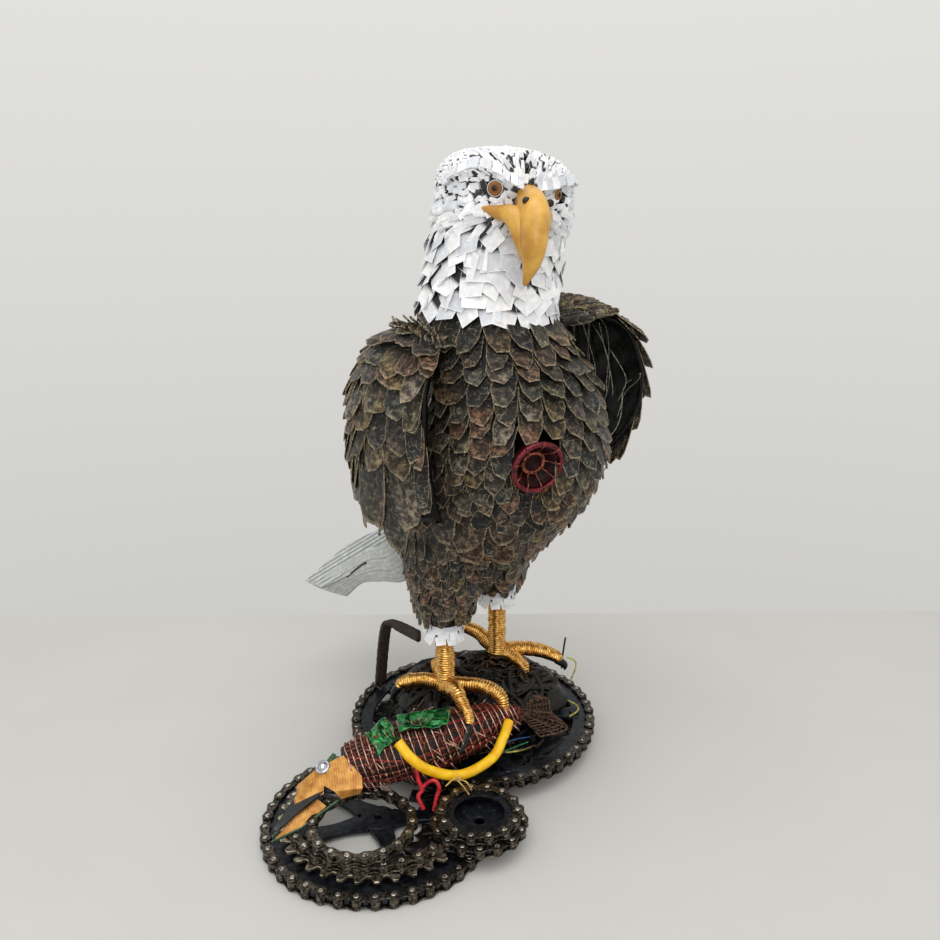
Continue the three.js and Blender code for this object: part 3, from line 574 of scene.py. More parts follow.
draw = np.random.default_rng(17)
loops = []
for k in range(110):
    a = np.linspace(0, draw.uniform(2.0, 5.5), 26) + draw.uniform(0, 6.28)
    middle = on_heap(draw) if k % 2 else in_ring(draw)
    size = draw.uniform(5, 16) * (1 + 0.25 * np.sin(2 * a))
    x, y = middle[0] + size * np.cos(a), middle[1] + 0.7 * size * np.sin(a)
    inside = np.hypot((x - HEAP_AT[0]) / HEAP_HALF[0], (y - HEAP_AT[1]) / HEAP_HALF[1]) < 1
    under = np.where(inside, heap_height(x, y), 21)
    waves = draw.uniform(0, 5) * np.abs(np.sin(2 * a + k))
    z = smooth_curve(under[::5, None], np.linspace(0, 1, 26))[:, 0] + 2.5 + waves
    loops.append(tube(np.stack([x, y, z], -1), 0.6, 5, (0.2, 0.3, 1)))
lay("mound_wires", bundle(loops), black_wire, "rubber")

# The strap: a flat bar wrapped in brown-black tape, standing on the rear ring and bent over to the leg.
STRAP_PATH = [(-15, 178, 23.4), (-11, 173, 60), (-7, 168, 85), (-3, 164, 91), (6, 155, 93), (26, 134, 93)]
STRAP_FACES = np.array([0.5, -0.866, 0])
STRAP_HALF = (5.6, 2.4)
TAPE_LAPS = 19
strap_tape = worn("strap_tape", "#1a1411", "#3b2d27", (0.55, 0.8), grain=2.5, relief=0.7)
s = np.linspace(0, 1, 120)
path = smooth_curve(STRAP_PATH, s)
along = np.gradient(path, axis=0)
along[:3] = [0, 0, 1]
along = unit(along)
face = unit(STRAP_FACES - (along @ STRAP_FACES)[:, None] * along)
edge = np.cross(face, along)
corner = np.radians(np.arange(12) * 30 + 15)[None, :, None]
lap = 1 + 0.07 * (np.mod(s * TAPE_LAPS, 1)[:, None, None] - 0.5)
wide = STRAP_HALF[0] * np.sign(np.cos(corner)) * np.abs(np.cos(corner)) ** 0.5
deep = STRAP_HALF[1] * np.sign(np.sin(corner)) * np.abs(np.sin(corner)) ** 0.6
bar = path[:, None] + lap * (wide * edge[:, None] + deep * face[:, None])
lay("taped_strap", stack(bar[:, ::-1]), strap_tape, "strap_brown", "bent_strap")

# The feet: toes and shanks of bent wire wound over with copper and gold wire, turn against turn, each
# toe ending in a black claw.
FEET = {  # sole, top of the shank, and for each toe its knuckle, its joint, its end and its claw's point
    "right": ((51, 96, 66), (49, 99, 121), [
        ((32, 103, 67), (14, 109, 62), (9, 110, 57), (5, 108, 42)),
        ((60, 70, 74), (68, 53, 64), (70, 41, 61), (57, 24, 38)),
        ((79, 84, 72), (96, 80, 65), (100, 77, 50), (101, 74, 38)),
        ((45, 116, 71), (42, 130, 68), (41, 134, 64), (40, 140, 52))]),
    "left": ((96, 152, 70), (96, 160, 125), [
        ((109, 149, 66), (119, 146, 58), (122, 143, 51), (125, 140, 40)),
        ((128, 162, 66), (151, 169, 55), (154, 169, 50), (161, 171, 39)),
        ((80, 166, 80), (66, 176, 82), (62, 179, 79), (56, 183, 67))]),
}
SHANK_RADII = [[8.2], [8.0], [8.6], [4.0]]
TOE_RADII = [[7.5], [6.8], [5.8], [4.3]]
CLAW_RADII = [[4.0], [3.4], [0.8]]
WINDING = 2.1
gold_wire = worn("gold_wire", "#b9782a", "#f2c878", (0.16, 0.3), metal=1.0, grain=3.0, relief=0.3)
claw_black = worn("claw_black", "#050506", "#151517", (0.2, 0.4), grain=2, relief=0.3, shine=0.35)


def wound(points, radii, seed, up, sides=14):
    """A rod wound with wire: its radius rises and falls along a helix of one turn to each winding, with
    slow lumps where turns ride up on each other."""
    t = np.linspace(0, 1, 400)
    rough = smooth_curve(points, t)
    length = np.concatenate([[0], np.cumsum(np.linalg.norm(np.diff(rough, axis=0), axis=1))])
    count = int(length[-1] / WINDING * 6)
    even = np.interp(np.linspace(0, length[-1], count), length, t)
    path = smooth_curve(points, even)
    girth = smooth_curve(radii, even)
    angle = bearings(sides)
    phase = np.linspace(0, length[-1], count)[:, None] / WINDING + angle / (2 * math.pi)
    ridge = np.abs(np.sin(math.pi * phase))
    slow = ripple(path, 9, seed)[:, None]
    lumps = np.sin(2.0 * angle + slow * 3) * 0.35
    return tube(path, girth - 0.9 + 0.95 * ridge + 0.5 * slow + lumps, sides, up)


for side, (sole, top, toes) in FEET.items():
    sole, top = np.array(sole, float), np.array(top, float)
    shank = [top, sole + 0.4 * (top - sole), sole, sole - [0, 0, 3]]
    limbs = [wound(shank, SHANK_RADII, 2, (0, 1, 0))]
    for k, (knuckle, joint, end, point) in enumerate(np.array(toes, float)):
        start = sole + 0.1 * (knuckle - sole)
        limbs.append(wound([start, knuckle, joint, end], TOE_RADII, 10 + k, (0, 0, 1)))
        out = unit((joint - knuckle) * [1, 1, 0])
        t = np.linspace(0, 1, 14)
        nail = smooth_curve([end, (end + point) / 2 + 3 * out, point], t)
        claw = tube(nail, smooth_curve(CLAW_RADII, t), 10, np.cross(out, [0, 0, 1]))
        lay(f"{side}_nail_{k + 1}", claw, claw_black, "claw_black", f"{side}_claw_{k + 1}")
    lay(f"{side}_foot_winding", bundle(limbs), gold_wire, "gold_wire", f"{side}_foot")

# The fish's body: a dark core in a cage of red-brown enamelled wire, wound both ways round it, with
# straight ribs along it.
FISH_AXIS = [(-24, 9, 45), (6, 22, 47), (42, 39, 48), (82, 66, 46), (112, 92, 40)]
FISH_RADII = [[17], [22], [23], [17], [8]]
FISH_UP = np.array([0, 0, 1.0])
copper_wire = worn("copper_wire", "#4a2016", "#a8604a", (0.22, 0.4), metal=0.75, grain=2, relief=0.15)
core_black = worn("core_black", "#0a0706", "#22130f", (0.5, 0.8), grain=4, relief=0.5)


def course(points, t):
    """The way in which a smooth curve runs, at amounts t."""
    return smooth_curve(points, np.minimum(t + 0.01, 1)) - smooth_curve(points, np.maximum(t - 0.01, 0))


def fish_skin(t, angle, out):
    """A point on the fish: along its axis by t, round it by angle, and out from its skin."""
    middle = smooth_curve(FISH_AXIS, t)
    ahead = unit(course(FISH_AXIS, t))
    side = unit(np.cross(ahead, FISH_UP))
    over = np.cross(ahead, side)
    girth = smooth_curve(FISH_RADII, t) + np.asarray(out)[..., None]
    return middle + girth * (np.cos(angle)[..., None] * side + np.sin(angle)[..., None] * over)


def rounds(rows, sides):
    """A grid of amounts from 0 to 1 along something and of bearings round it."""
    return np.meshgrid(np.linspace(0, 1, rows), bearings(sides), indexing="ij")


BARB_ALONG, BARB_ROUND, BARB_OUT = np.array([[0, 0.01, 0.03], [0, 0.1, 0.25], [-1.0, 2.5, 5.5]])
t, angle = rounds(50, 32)
lay("fish_core", stack(fish_skin(t, angle, -2.4 + 0 * t)), core_black, "copper_wire", "fish_body")
s = np.linspace(0, 1, 60)
fine_mesh, hoops, red_runs = [], [], []
for k in range(26):
    drift = 0.35 * math.sin(2.4 * k)
    angle = 2 * math.pi * k / 26 + drift * s + 0.1 * np.sin(8 * s + k)
    fine_mesh.append(tube(fish_skin(s, angle, -1.2 + 0.5 * np.sin(30 * s + k)), 0.45, 5))
for k in range(40):
    a = np.linspace(0, 2 * math.pi, 34)
    slope = 0.05 * math.sin(1.7 * k) - 0.03
    along = 0.02 + 0.96 * k / 39 + slope * np.sin(a)
    fine_mesh.append(tube(fish_skin(along, a, -0.6 + 0.4 * np.sin(5 * a + k)), 0.4, 5))
for k in range(27):
    a = np.linspace(0, 2 * math.pi, 40)
    hoops.append(tube(fish_skin(0.04 + 0.92 * k / 26 + 0.045 * np.sin(a - 0.6), a, 0.3 + 0 * a), 0.6, 6))
draw = np.random.default_rng(19)
for k in range(44):
    t = draw.uniform(0.05, 0.95)
    a = draw.uniform(-0.6, 0.9) if k % 3 else draw.uniform(0, 6.28)
    ends = fish_skin(t + BARB_ALONG, a + BARB_ROUND, BARB_OUT)
    hoops.append(tube(smooth_curve(ends, np.linspace(0, 1, 6)), 0.5, 5, (0.3, 0.5, 0.8)))
for k in range(7):
    red_runs.append(tube(fish_skin(s, 0.9 * k + 0.7 * np.sin(5 * s + k), -2.0 + 0 * s), 0.9, 6))
pale_copper = worn("pale_copper", "#8a5a4a", "#e3bba9", (0.2, 0.36), metal=0.85, grain=3, relief=0.1)
dark_red = worn("dark_red", "#6d0f14", "#a51d22", (0.3, 0.45), grain=4, relief=0.1)
lay("fish_cage", bundle(fine_mesh), copper_wire, "copper_wire")
lay("fish_hoops", bundle(hoops), pale_copper, "copper_wire")
lay("fish_red_wires", bundle(red_runs), dark_red, "red_pvc")

# The fish's head: gold-coloured circuit board cut to plates and folded to a snout and an open jaw,
# with fine printed lines and green cut edges.
board_gold = worn("board_gold", "#b5762f", "#e0a850", (0.28, 0.45), metal=0.35, grain=6, relief=0.05)
tree = board_gold.node_tree
place = knot(tree, "TexCoord").outputs["Object"]
lines = knot(tree, "TexWave", {"Vector": place, "Scale": 260.0, "Distortion": 1.5, "Detail Scale": 0.4})
base = tree.nodes["Principled BSDF"].inputs["Base Color"]
printed = knot(tree, "MixRGB", {"Fac": spread(tree, lines.outputs["Fac"], 0.0, 0.6, 0.55, 0.8),
                                "Color1": base.links[0].from_socket, "Color2": shade("#7c4518")})
tree.links.new(printed.outputs["Color"], base)
board_green = worn("board_green", "#1d3a22", "#3f6a3c", (0.3, 0.5), grain=3, relief=0.2)
BOARD_ROWS = 9


def patch(corners, rows):
    """A square grid of points between four corners in order, bilinear between them, with the share of the
    way to the second corner and to the fourth."""
    a, b, c, d = np.array(corners, float)
    u, v = np.meshgrid(np.linspace(0, 1, rows), np.linspace(0, 1, rows), indexing="ij")
    u, v = u[..., None], v[..., None]
    return (1 - u) * (1 - v) * a + u * (1 - v) * b + u * v * c + (1 - u) * v * d, u, v


def crust(top, bottom):
    """A closed sheet between two grids of points: both faces and the edge all round."""
    rows, columns = top.shape[:2]
    grid = weave(rows, columns, closed=False)
    number = np.arange(rows * columns).reshape(rows, columns)
    rim = np.concatenate([number[0], number[1:, -1], number[-1, -2::-1], number[-2:0:-1, 0]])
    after = np.roll(rim, -1)
    below = rows * columns
    edge = np.stack([rim, rim + below, after + below, after], -1)
    points = np.concatenate([top.reshape(-1, 3), bottom.reshape(-1, 3)])
    return points, [grid[:, ::-1], grid + below, edge[:, ::-1]]


def board(corners, thick, sag=0.0):
    """A plate between four corners, bowed out at its middle by sag."""
    flat, u, v = patch(corners, BOARD_ROWS)
    normal = unit(np.cross(flat[-1, 0] - flat[0, 0], flat[0, -1] - flat[0, 0]))
    flat = flat + normal * sag * 16 * u * (1 - u) * v * (1 - v)
    return crust(flat, flat - normal * thick)


BACK_TOP, BACK_NEAR, BACK_LOW = np.array([(-25, 4, 59), (-10, -9, 50), (-9, -14, 43)], float)
CREASE_FRONT, SIDE_FRONT = np.array([(-30, -16, 42), (-25, -17, 36)], float)
FOREHEAD, NOSE_BACK, NOSE_TIP = np.array([(-45, -3, 52), (-38, -12, 44), (-59, -20, 36)], float)
MOUTH_TIP = np.array([-69, -38, 24.0])
FAR_BACK, FAR_FRONT = np.array([(-36, 24, 42), (-60, -2, 38)], float)
snout = [board([BACK_TOP, FOREHEAD, NOSE_BACK, BACK_NEAR], 1.5, sag=1.0),
         board([BACK_NEAR, NOSE_BACK, CREASE_FRONT, BACK_LOW], 1.5, sag=0.5),
         board([BACK_LOW, CREASE_FRONT, SIDE_FRONT, SIDE_FRONT + [14, 5, 1]], 1.5, sag=0.3),
         board([FOREHEAD, FAR_FRONT, NOSE_TIP, NOSE_BACK], 1.5, sag=0.8),
         board([NOSE_BACK, NOSE_TIP, NOSE_TIP + [1, -1, -3], NOSE_BACK + [0, -3, -5]], 1.2),
         board([FAR_BACK, FAR_FRONT, FOREHEAD, BACK_TOP], 1.5, sag=1.0)]
lay("snout_boards", bundle(snout), board_gold, "circuit_gold", "fish_head", smooth=False)

# The jaw: one long plate with a green cut edge, under a dark mouth of black plastic slips.
JAW_TIP, JAW_MID, JAW_BACK = np.array([(-70, -39, 20), (-57, -26, 29), (-43, -14, 34)], float)
JAW_LOW, JAW_UNDER, HINGE = np.array([(-36, -17, 30), (-52, -32, 23), (-26, -13, 35)], float)
jaw = [board([JAW_BACK, JAW_MID, JAW_UNDER, JAW_LOW], 1.4, sag=0.5),
       board([JAW_MID, JAW_TIP, JAW_TIP + [1, -1, 0], JAW_UNDER], 1.4, sag=0.3)]
lay("jaw_boards", bundle(jaw), board_gold, "circuit_gold", "fish_jaw", smooth=False)
slip_black = worn("slip_black", "#060607", "#1b1c20", (0.12, 0.3), grain=5, relief=0.15, coat=0.4)
inside = [board([NOSE_BACK - [0, 2, 4], MOUTH_TIP, MOUTH_TIP + [-2, 2, 1], NOSE_TIP + [-2, 3, -2]], 1.2),
          board([FAR_FRONT - [0, 0, 6], MOUTH_TIP + [-3, 3, 0], MOUTH_TIP, NOSE_TIP - [0, 0, 3]], 1.2),
          board([HINGE, SIDE_FRONT, SIDE_FRONT - [9, 0, -3], HINGE - [12, 0, -2]], 1.2)]
lay("mouth_slips", bundle(inside), slip_black, "claw_black", smooth=False)
CUT_EDGES = [  # start, end, half width across, and how many points along
    (HINGE - [0, 1, 1], JAW_UNDER, (0.39, -0.52, 1.17), 6),
    (JAW_UNDER, JAW_TIP - [2, 3, 1], (0.3, -0.4, 0.9), 6),
    (MOUTH_TIP + [4, 5, 1], MOUTH_TIP - [2, 2, 1], (0.96, 0.64, 0.8), 5),
    (FOREHEAD + [6, 4, 0], BACK_TOP + [-7, 2, 0], (1.32, -1.32, 0.22), 6)]
edges = [ribbon(np.linspace(start, end, count), np.tile(across, (count, 1)), 1.0)
         for start, end, across, count in CUT_EDGES]
lay("board_edges", bundle(edges), board_green, "green_foil", smooth=False)

# The fish's eye: a silver button with a domed middle in a raised ring.
EYE_AT = np.array([-40, -2, 53.0])
EYE_AIM = np.array([-0.15, -0.45, 0.88])
silver = worn("silver", "#8b8e93", "#d9dce0", (0.14, 0.24), metal=0.9, grain=6, relief=0.02)


def aimed(points, at, aim):
    """Points worked out about the vertical axis, turned so that it points along aim, and moved to a place."""
    z = unit(np.asarray(aim, float))
    x = unit(np.cross([0.0, 1.0, 0.0], z))
    return points @ np.stack([x, np.cross(z, x), z]) + at


def turned(profile, sides):
    """A profile of radius and height carried round the vertical axis, closed at both ends."""
    r, z = np.array(profile, float).T
    a = bearings(sides)
    return stack(np.stack([r[:, None] * np.cos(a), r[:, None] * np.sin(a), z[:, None] + 0 * a], -1))


BUTTON = [(5.6, -3), (5.6, 0.5), (5.2, 1.4), (4.5, 1.6), (4.1, 1.0), (3.9, 1.6), (3.2, 3.0), (2, 3.8),
          (0.3, 4.1)]  # radius and height
button = turned(BUTTON, 32)
lay("fish_eye_button", (aimed(button[0], EYE_AT, EYE_AIM), button[1]), silver, "silver", "fish_eye")

# The fish's tail: a bent frame of wire, with wires fanned out to it from the root and others across them.
TAIL_ROOT = np.array([108, 95, 42.0])
TAIL_EDGE = [(129, 63, 36), (152, 72, 38), (140, 92, 42), (138, 108, 45), (117, 114, 46)]
edge_path = smooth_curve(TAIL_EDGE, np.linspace(0, 1, 40))
mesh_wires = [tube(edge_path, 1.0, 6)]
for k in range(0, 40, 2):
    s = np.linspace(0, 1, 8)[:, None]
    sway = [0, 0, 1] * np.sin(3 * s + k) * 0.8
    mesh_wires.append(tube(TAIL_ROOT + s * (edge_path[k] - TAIL_ROOT) + sway, 0.6, 5))
for share in np.linspace(0.3, 0.92, 8):
    mesh_wires.append(tube(TAIL_ROOT + share * (edge_path - TAIL_ROOT) + [0, 0, 0.6], 0.6, 5))
lay("fish_tail_mesh", bundle(mesh_wires), black_wire, "copper_wire", "fish_tail")

# Green foil on the fish's back: two crumpled pieces of wrapper, shiny, folded at the edges.
green_foil = worn("green_foil", "#053a18", "#1d8a3d", (0.08, 0.22), metal=0.75, grain=6, relief=0.4, coat=0.5)
FOIL_ROWS = 22
FOILS = {"front": (21, [(-11, 20, 67), (2, 1, 61), (18, 13, 68), (5, 35, 71)]),
         "back": (24, [(16, 17, 70), (54, 25, 70), (56, 47, 73), (13, 36, 72)])}  # seed and corners


def crumpled(corners, seed):
    """A thin sheet between four corners, creased by ridges of folded sines."""
    flat = patch(corners, FOIL_ROWS)[0]
    crease = 2.6 - 5.2 * np.abs(ripple(flat, 16, seed)) + 1.2 * np.abs(ripple(flat, 6, seed + 1))
    flat = flat + [0, 0, 1] * crease[..., None]
    return crust(flat, flat - [0, 0, 0.5])


for where, (seed, corners) in FOILS.items():
    lay(f"foil_{where}_piece", crumpled(corners, seed), green_foil, "green_foil", f"foil_{where}")

# Yellow cable bent along the fish's side as a fin, and a red one below it looped twice.
CABLE_PATH = [(16, 9, 67), (27, 3, 56), (41, 7, 43), (64, 16, 33), (88, 33, 36), (98, 49, 45), (103, 61, 52)]
FIN_PATHS = [[(29, 9, 49), (31, 6, 36), (34, 5, 28), (31, 3, 23), (35, 0, 14)],
             [(33, 5, 28), (39, 6, 34), (44, 6, 35), (47, 5, 29), (45, 3, 22), (43, -1, 13)]]
yellow_pvc = worn("yellow_pvc", "#f0b008", "#ffcf1f", (0.28, 0.42), grain=7, relief=0.08)
red_pvc = worn("red_pvc", "#a81522", "#d8323c", (0.28, 0.42), grain=6, relief=0.08)
s = np.linspace(0, 1, 90)
lay("yellow_cable_run", tube(smooth_curve(CABLE_PATH, s), 4.0, 18), yellow_pvc, "yellow_pvc", "yellow_cable")
fin = [tube(smooth_curve(path, s), 1.7, 10, (0.3, 1, 0)) for path in FIN_PATHS]
lay("red_fin_wire", bundle(fin), red_pvc, "red_pvc", "red_fin")

# Loose ends of thin wire in the heap: black, yellow-green, blue, green and brass.
LOOSE_ENDS = [
    ("loose_black", "#0a0a0b", "#1c1c1f", 0.9, [
        [(158, 172, 40), (159, 172, 56), (161, 172, 72)],
        [(-28, 150, 20), (-26, 155, 27), (-19, 160, 30), (-12, 158, 26)]]),
    ("loose_lime", "#8f8a3c", "#c4bd62", 0.8, [
        [(162, 165, 55), (169, 165, 52), (170, 162, 46), (165, 160, 33)],
        [(160, 140, 25), (168, 132, 24), (168, 126, 22), (160, 120, 20)],
        [(86, 62, 21), (108, 62, 23), (122, 70, 22)]]),
    ("loose_blue", "#1c3a63", "#2f5f96", 0.7, [[(91, 66, 22), (106, 72, 27), (122, 82, 24)]]),
    ("loose_green", "#1c5a3c", "#2f8a5c", 0.7, [[(88, 60, 20), (104, 64, 24), (120, 76, 23)]]),
    ("loose_brass", "#7a5a22", "#d8b060", 0.6, [
        [(52, 0, 34), (58, 3, 38), (65, 4, 39)],
        [(62, 3, 38), (68, 1, 37), (72, -2, 32)],
        [(60, 4, 38), (66, -1, 34), (70, -6, 31)]]),
]
for name, dark, pale, radius, paths in LOOSE_ENDS:
    ends = [tube(smooth_curve(path, np.linspace(0, 1, 24)), radius, 7, (0.4, 0.3, 0.85)) for path in paths]
    lay(name, bundle(ends), worn(name, dark, pale, (0.3, 0.45), grain=4, relief=0.1), "rubber")

# The eagle's body: hundreds of small pentagons cut from scrap, painted brown over olive and gold and
# scratched at the edges, glued in overlapping rows on a core of black tar. They leave a place open for
# the rosette, and lower down they lie less evenly.
EAGLE_AT = np.array([73.5, 129.5, 0])
EAGLE_TURN = math.radians(40)
BODY_SECTIONS = np.array([
    [166, 0, 0, 36, 40], [190, 0, 0, 53, 60], [226, 0, -4, 66, 90], [256, 0, -26, 68, 88],
    [286, 0, -48, 67, 74], [330, -3, -49, 61, 62], [354, -7, -39, 56, 56], [374, -9, -31, 52, 52]], float)


def to_room(points, at=EAGLE_AT, turn=EAGLE_TURN):
    """Points in the eagle's own frame, x to its left and y to its back, in the frame of the front ring."""
    c, s = math.cos(turn), math.sin(turn)
    return points @ np.array([[c, s, 0], [-s, c, 0], [0, 0, 1]]) + at


def barrel(sections):
    """A surface through level ellipses, each given by height, middle x and y, half width and half depth.
    Returns a function of t from the lowest to the highest, angle, and distance out."""
    def surface(t, angle, out):
        z, x, y, a, b = np.moveaxis(smooth_curve(sections, t), -1, 0)
        below = np.minimum(t, 0) * (sections[1][0] - sections[0][0]) * (len(sections) - 1)
        return np.stack([x + (a + out) * np.cos(angle), y + (b + out) * np.sin(angle), z + below], -1)
    return surface


PENTAGON = [(0, 0.9), (0.35, 0.98), (0.66, 1.0), (0.83, 0.76), (1, 0.5)]
DOWN = np.array([0, 0, -1.0])


def plates(surface, t, angle, toward, size, cut, lift, seed, twist=0.12, roll=0.0, bow=0.5, crinkle=0.2,
           thick=0.8, columns=3):
    """Flat plates laid on a surface like shingles, one for each t and angle. Each points along toward,
    turned by a chance twist, lifts towards its tip and is rolled about its length. size is length and
    width in millimetres; cut gives the width from root to tip as shares. Returns the shape, with the
    place on the plate and the plate's number for each point."""
    draw = np.random.default_rng(seed)
    count, flat, near = len(t), 0 * t, 0.002
    middle = surface(t, angle, flat)
    up = surface(t + near, angle, flat) - surface(t - near, angle, flat)
    side = surface(t, angle + near, flat) - surface(t, angle - near, flat)
    out = unit(np.cross(side, up))
    out *= np.sign((out * (surface(t, angle, flat + 1) - middle)).sum(-1, keepdims=True))
    way = unit(toward - (toward * out).sum(-1, keepdims=True) * out)
    across = np.cross(out, way)
    turn = (draw.normal(0, 1, count) * twist)[:, None]
    way, across = way * np.cos(turn) + across * np.sin(turn), across * np.cos(turn) - way * np.sin(turn)
    tilt = (draw.normal(0, 0.07, count) + roll)[:, None]
    across, out = across * np.cos(tilt) + out * np.sin(tilt), out * np.cos(tilt) - across * np.sin(tilt)
    v, share = np.array(cut).T
    u = np.linspace(-1, 1, columns)
    v3 = v[None, :, None] + 0 * u
    u3 = u + 0 * v3
    long, wide, rise = draw.uniform(0.86, 1.14, (3, count))[..., None, None]
    long = long * np.broadcast_to(size[0], (count,))[:, None, None]
    wide = wide * np.broadcast_to(size[1], (count,))[:, None, None]
    slant = draw.uniform(-0.3, 0.3, (count, 1, 1)) * v3 * u3 * wide / 2
    height = 0.5 + np.broadcast_to(lift, (count,))[:, None, None] * rise * v3 - bow * u3**2
    height = height + crinkle * draw.normal(size=(count, len(v), columns))
    top = middle[:, None, None] + ((v3 - 0.35) * long + slant)[..., None] * way[:, None, None]
    top = top + (share[None, :, None] * u3 * wide / 2)[..., None] * across[:, None, None]
    top = top + height[..., None] * out[:, None, None]
    bottom = top - thick * out[:, None, None]
    faces = crust(top[0], bottom[0])[1]
    points = np.concatenate([top.reshape(count, -1, 3), bottom.reshape(count, -1, 3)], 1)
    step = (np.arange(count) * points.shape[1])[:, None, None]
    place = np.tile(np.stack([u3 * 0.5 + 0.5, v3], -1)[0].reshape(-1, 2), (2 * count, 1))
    tables = [(f[None] + step).reshape(-1, 4) for f in faces]
    return (points.reshape(-1, 3), tables), place, np.repeat(np.arange(count), points.shape[1])


def rows_down(surface, spacing, width, top=0.995, bottom=0.0):
    """Rows of places on a barrel, the same distance apart along its front and back, and in each row as
    many as the width allows round it, every other row moved by half. Gives t and angle."""
    fine = np.linspace(0, 1, 400)
    front = surface(fine, 0 * fine - math.pi / 2, 0 * fine)
    back = surface(fine, 0 * fine + math.pi / 2, 0 * fine)
    steps = np.linalg.norm(np.diff(front, axis=0), axis=1) + np.linalg.norm(np.diff(back, axis=0), axis=1)
    run = np.concatenate([[0], np.cumsum(steps / 2)])
    found = []
    levels = np.arange(np.interp(top, fine, run), np.interp(bottom, fine, run), -spacing)
    for k, level in enumerate(levels):
        t = np.interp(level, run, fine)
        ring = surface(np.full(60, t), bearings(60), np.zeros(60))
        girth = np.linalg.norm(ring - np.roll(ring, 1, 0), axis=1).sum()
        count = max(5, round(girth / width))
        angles = (np.arange(count) + 0.5 * (k % 2)) * 2 * math.pi / count
        found.append(np.stack([np.full(count, t), angles]))
    return np.concatenate(found, 1)


BROWNS = 1.5 * np.array([rgb(colour) for colour in (
    "#4c4137", "#584839", "#6b503c", "#5a5540", "#494b40",
    "#74543c", "#756240", "#2f3030", "#72675a", "#54483f")])


def tints(count, palette, seed, vary=0.4):
    """A colour for each plate: one of a palette's, a little lighter or darker."""
    draw = np.random.default_rng(seed)
    return palette[draw.integers(0, len(palette), count)] * draw.uniform(1 - vary, 1 + vary, (count, 1))


def plate_paint(name, rough, rim, scratch, mottle, coat, root_shade, metal=0.0, relief=0.5, shade_fade=(0.42, 0.8)):
    """Paint on cut plates: each plate's own tint, clouded by noise, painted darker towards the covered root
    as painted shade under the plate above, scratched with fine streaks and rubbed pale along the cut edges,
    which the plate's own u and v find."""
    made = bpy.data.materials.new(name)
    made.use_nodes = True
    tree = made.node_tree
    bsdf = tree.nodes["Principled BSDF"]
    tint = knot(tree, "Attribute", attribute_name="tint").outputs["Color"]
    where = knot(tree, "TexCoord")
    place, flat = where.outputs["Object"], where.outputs["UV"]
    cloud = knot(tree, "TexNoise", {"Vector": place, "Scale": 210.0, "Detail": 8.0, "Roughness": 0.7})
    cloud = cloud.outputs["Fac"]
    fine = knot(tree, "TexNoise", {"Vector": place, "Scale": 900.0, "Detail": 4.0}).outputs["Fac"]
    grey = ramp(tree, cloud, [(0.38, "#101010"), (0.5, "#858585"), (0.6, "#ffffff")])
    clouded = knot(tree, "MixRGB", {"Fac": mottle, "Color1": tint, "Color2": grey}, blend_type="MULTIPLY")
    parts = knot(tree, "SeparateXYZ", {"Vector": flat}).outputs
    # The plate darkens from its covered root to where it comes clear: painted shade under the plate that
    # overlaps it.
    root_shade_ramp = ramp(tree, parts["Y"], [(shade_fade[0], root_shade), (shade_fade[1], "#ffffff")])
    root_shaded = knot(tree, "MixRGB", {"Fac": 1.0, "Color1": clouded.outputs["Color"], "Color2": root_shade_ramp},
                 blend_type="MULTIPLY").outputs["Color"]
    streak = knot(tree, "TexVoronoi", {"Vector": place, "Scale": 230.0}, feature="DISTANCE_TO_EDGE")
    streaks = spread(tree, streak.outputs["Distance"], 1.0, 0.0, 0.0, 0.04)
    rubbed = spread(tree, cloud, 0.0, scratch, 0.46, 0.62)
    broken = knot(tree, "Math", {0: streaks, 1: rubbed}, operation="MULTIPLY")
    aside = knot(tree, "Math", {0: parts["X"], 1: 0.5}, operation="SUBTRACT").outputs[0]
    aside = knot(tree, "Math", {0: aside}, operation="ABSOLUTE").outputs[0]
    sides = spread(tree, aside, 0.0, 1.0, 0.45, 0.5)
    tip = spread(tree, parts["Y"], 0.0, 1.0, 0.94, 1.0)
    border = knot(tree, "Math", {0: sides, 1: tip}, operation="MAXIMUM")
    worn_edge = knot(tree, "Math", {0: border.outputs[0], 1: spread(tree, fine, 0.1, 0.9, 0.42, 0.6)},
                     operation="MULTIPLY")
    pale = knot(tree, "Math", {0: broken.outputs[0], 1: worn_edge.outputs[0]}, operation="MAXIMUM").outputs[0]
    colour = knot(tree, "MixRGB", {"Fac": pale, "Color1": root_shaded, "Color2": shade(rim)}).outputs["Color"]
    bump = knot(tree, "Bump", {"Height": cloud, "Strength": relief, "Distance": 0.0026})
    tree.links.new(colour, bsdf.inputs["Base Color"])
    tree.links.new(spread(tree, cloud, *rough), bsdf.inputs["Roughness"])
    tree.links.new(bump.outputs["Normal"], bsdf.inputs["Normal"])
    bsdf.inputs["Coat Weight"].default_value = coat
    bsdf.inputs["Coat Roughness"].default_value = 0.15
    bsdf.inputs["Metallic"].default_value = metal
    return made


# The feathers' roots are painted near black: painted shade under the overlapping plates.
feather_brown = plate_paint("feather_brown", rough=(0.5, 0.2), rim="#c9b796", scratch=0.8, mottle=0.95,
                            coat=0.1, root_shade="#0e0c0a", metal=0.4, relief=1.0)
tar_black = worn("tar_black", "#020202", "#0a0908", (0.16, 0.5), grain=4, relief=1.0, shine=0.15)


def lay_feathers(name, made, palette, seed):
    """Puts plates made in the eagle's own frame on the eagle, painted brown, each with a tint of its own."""
    (points, faces), uv, number = made
    lay(name, (to_room(points), faces), feather_brown, "feather_brown",
        tint=tints(number[-1] + 1, palette, seed)[number], uv=uv, smooth=False)


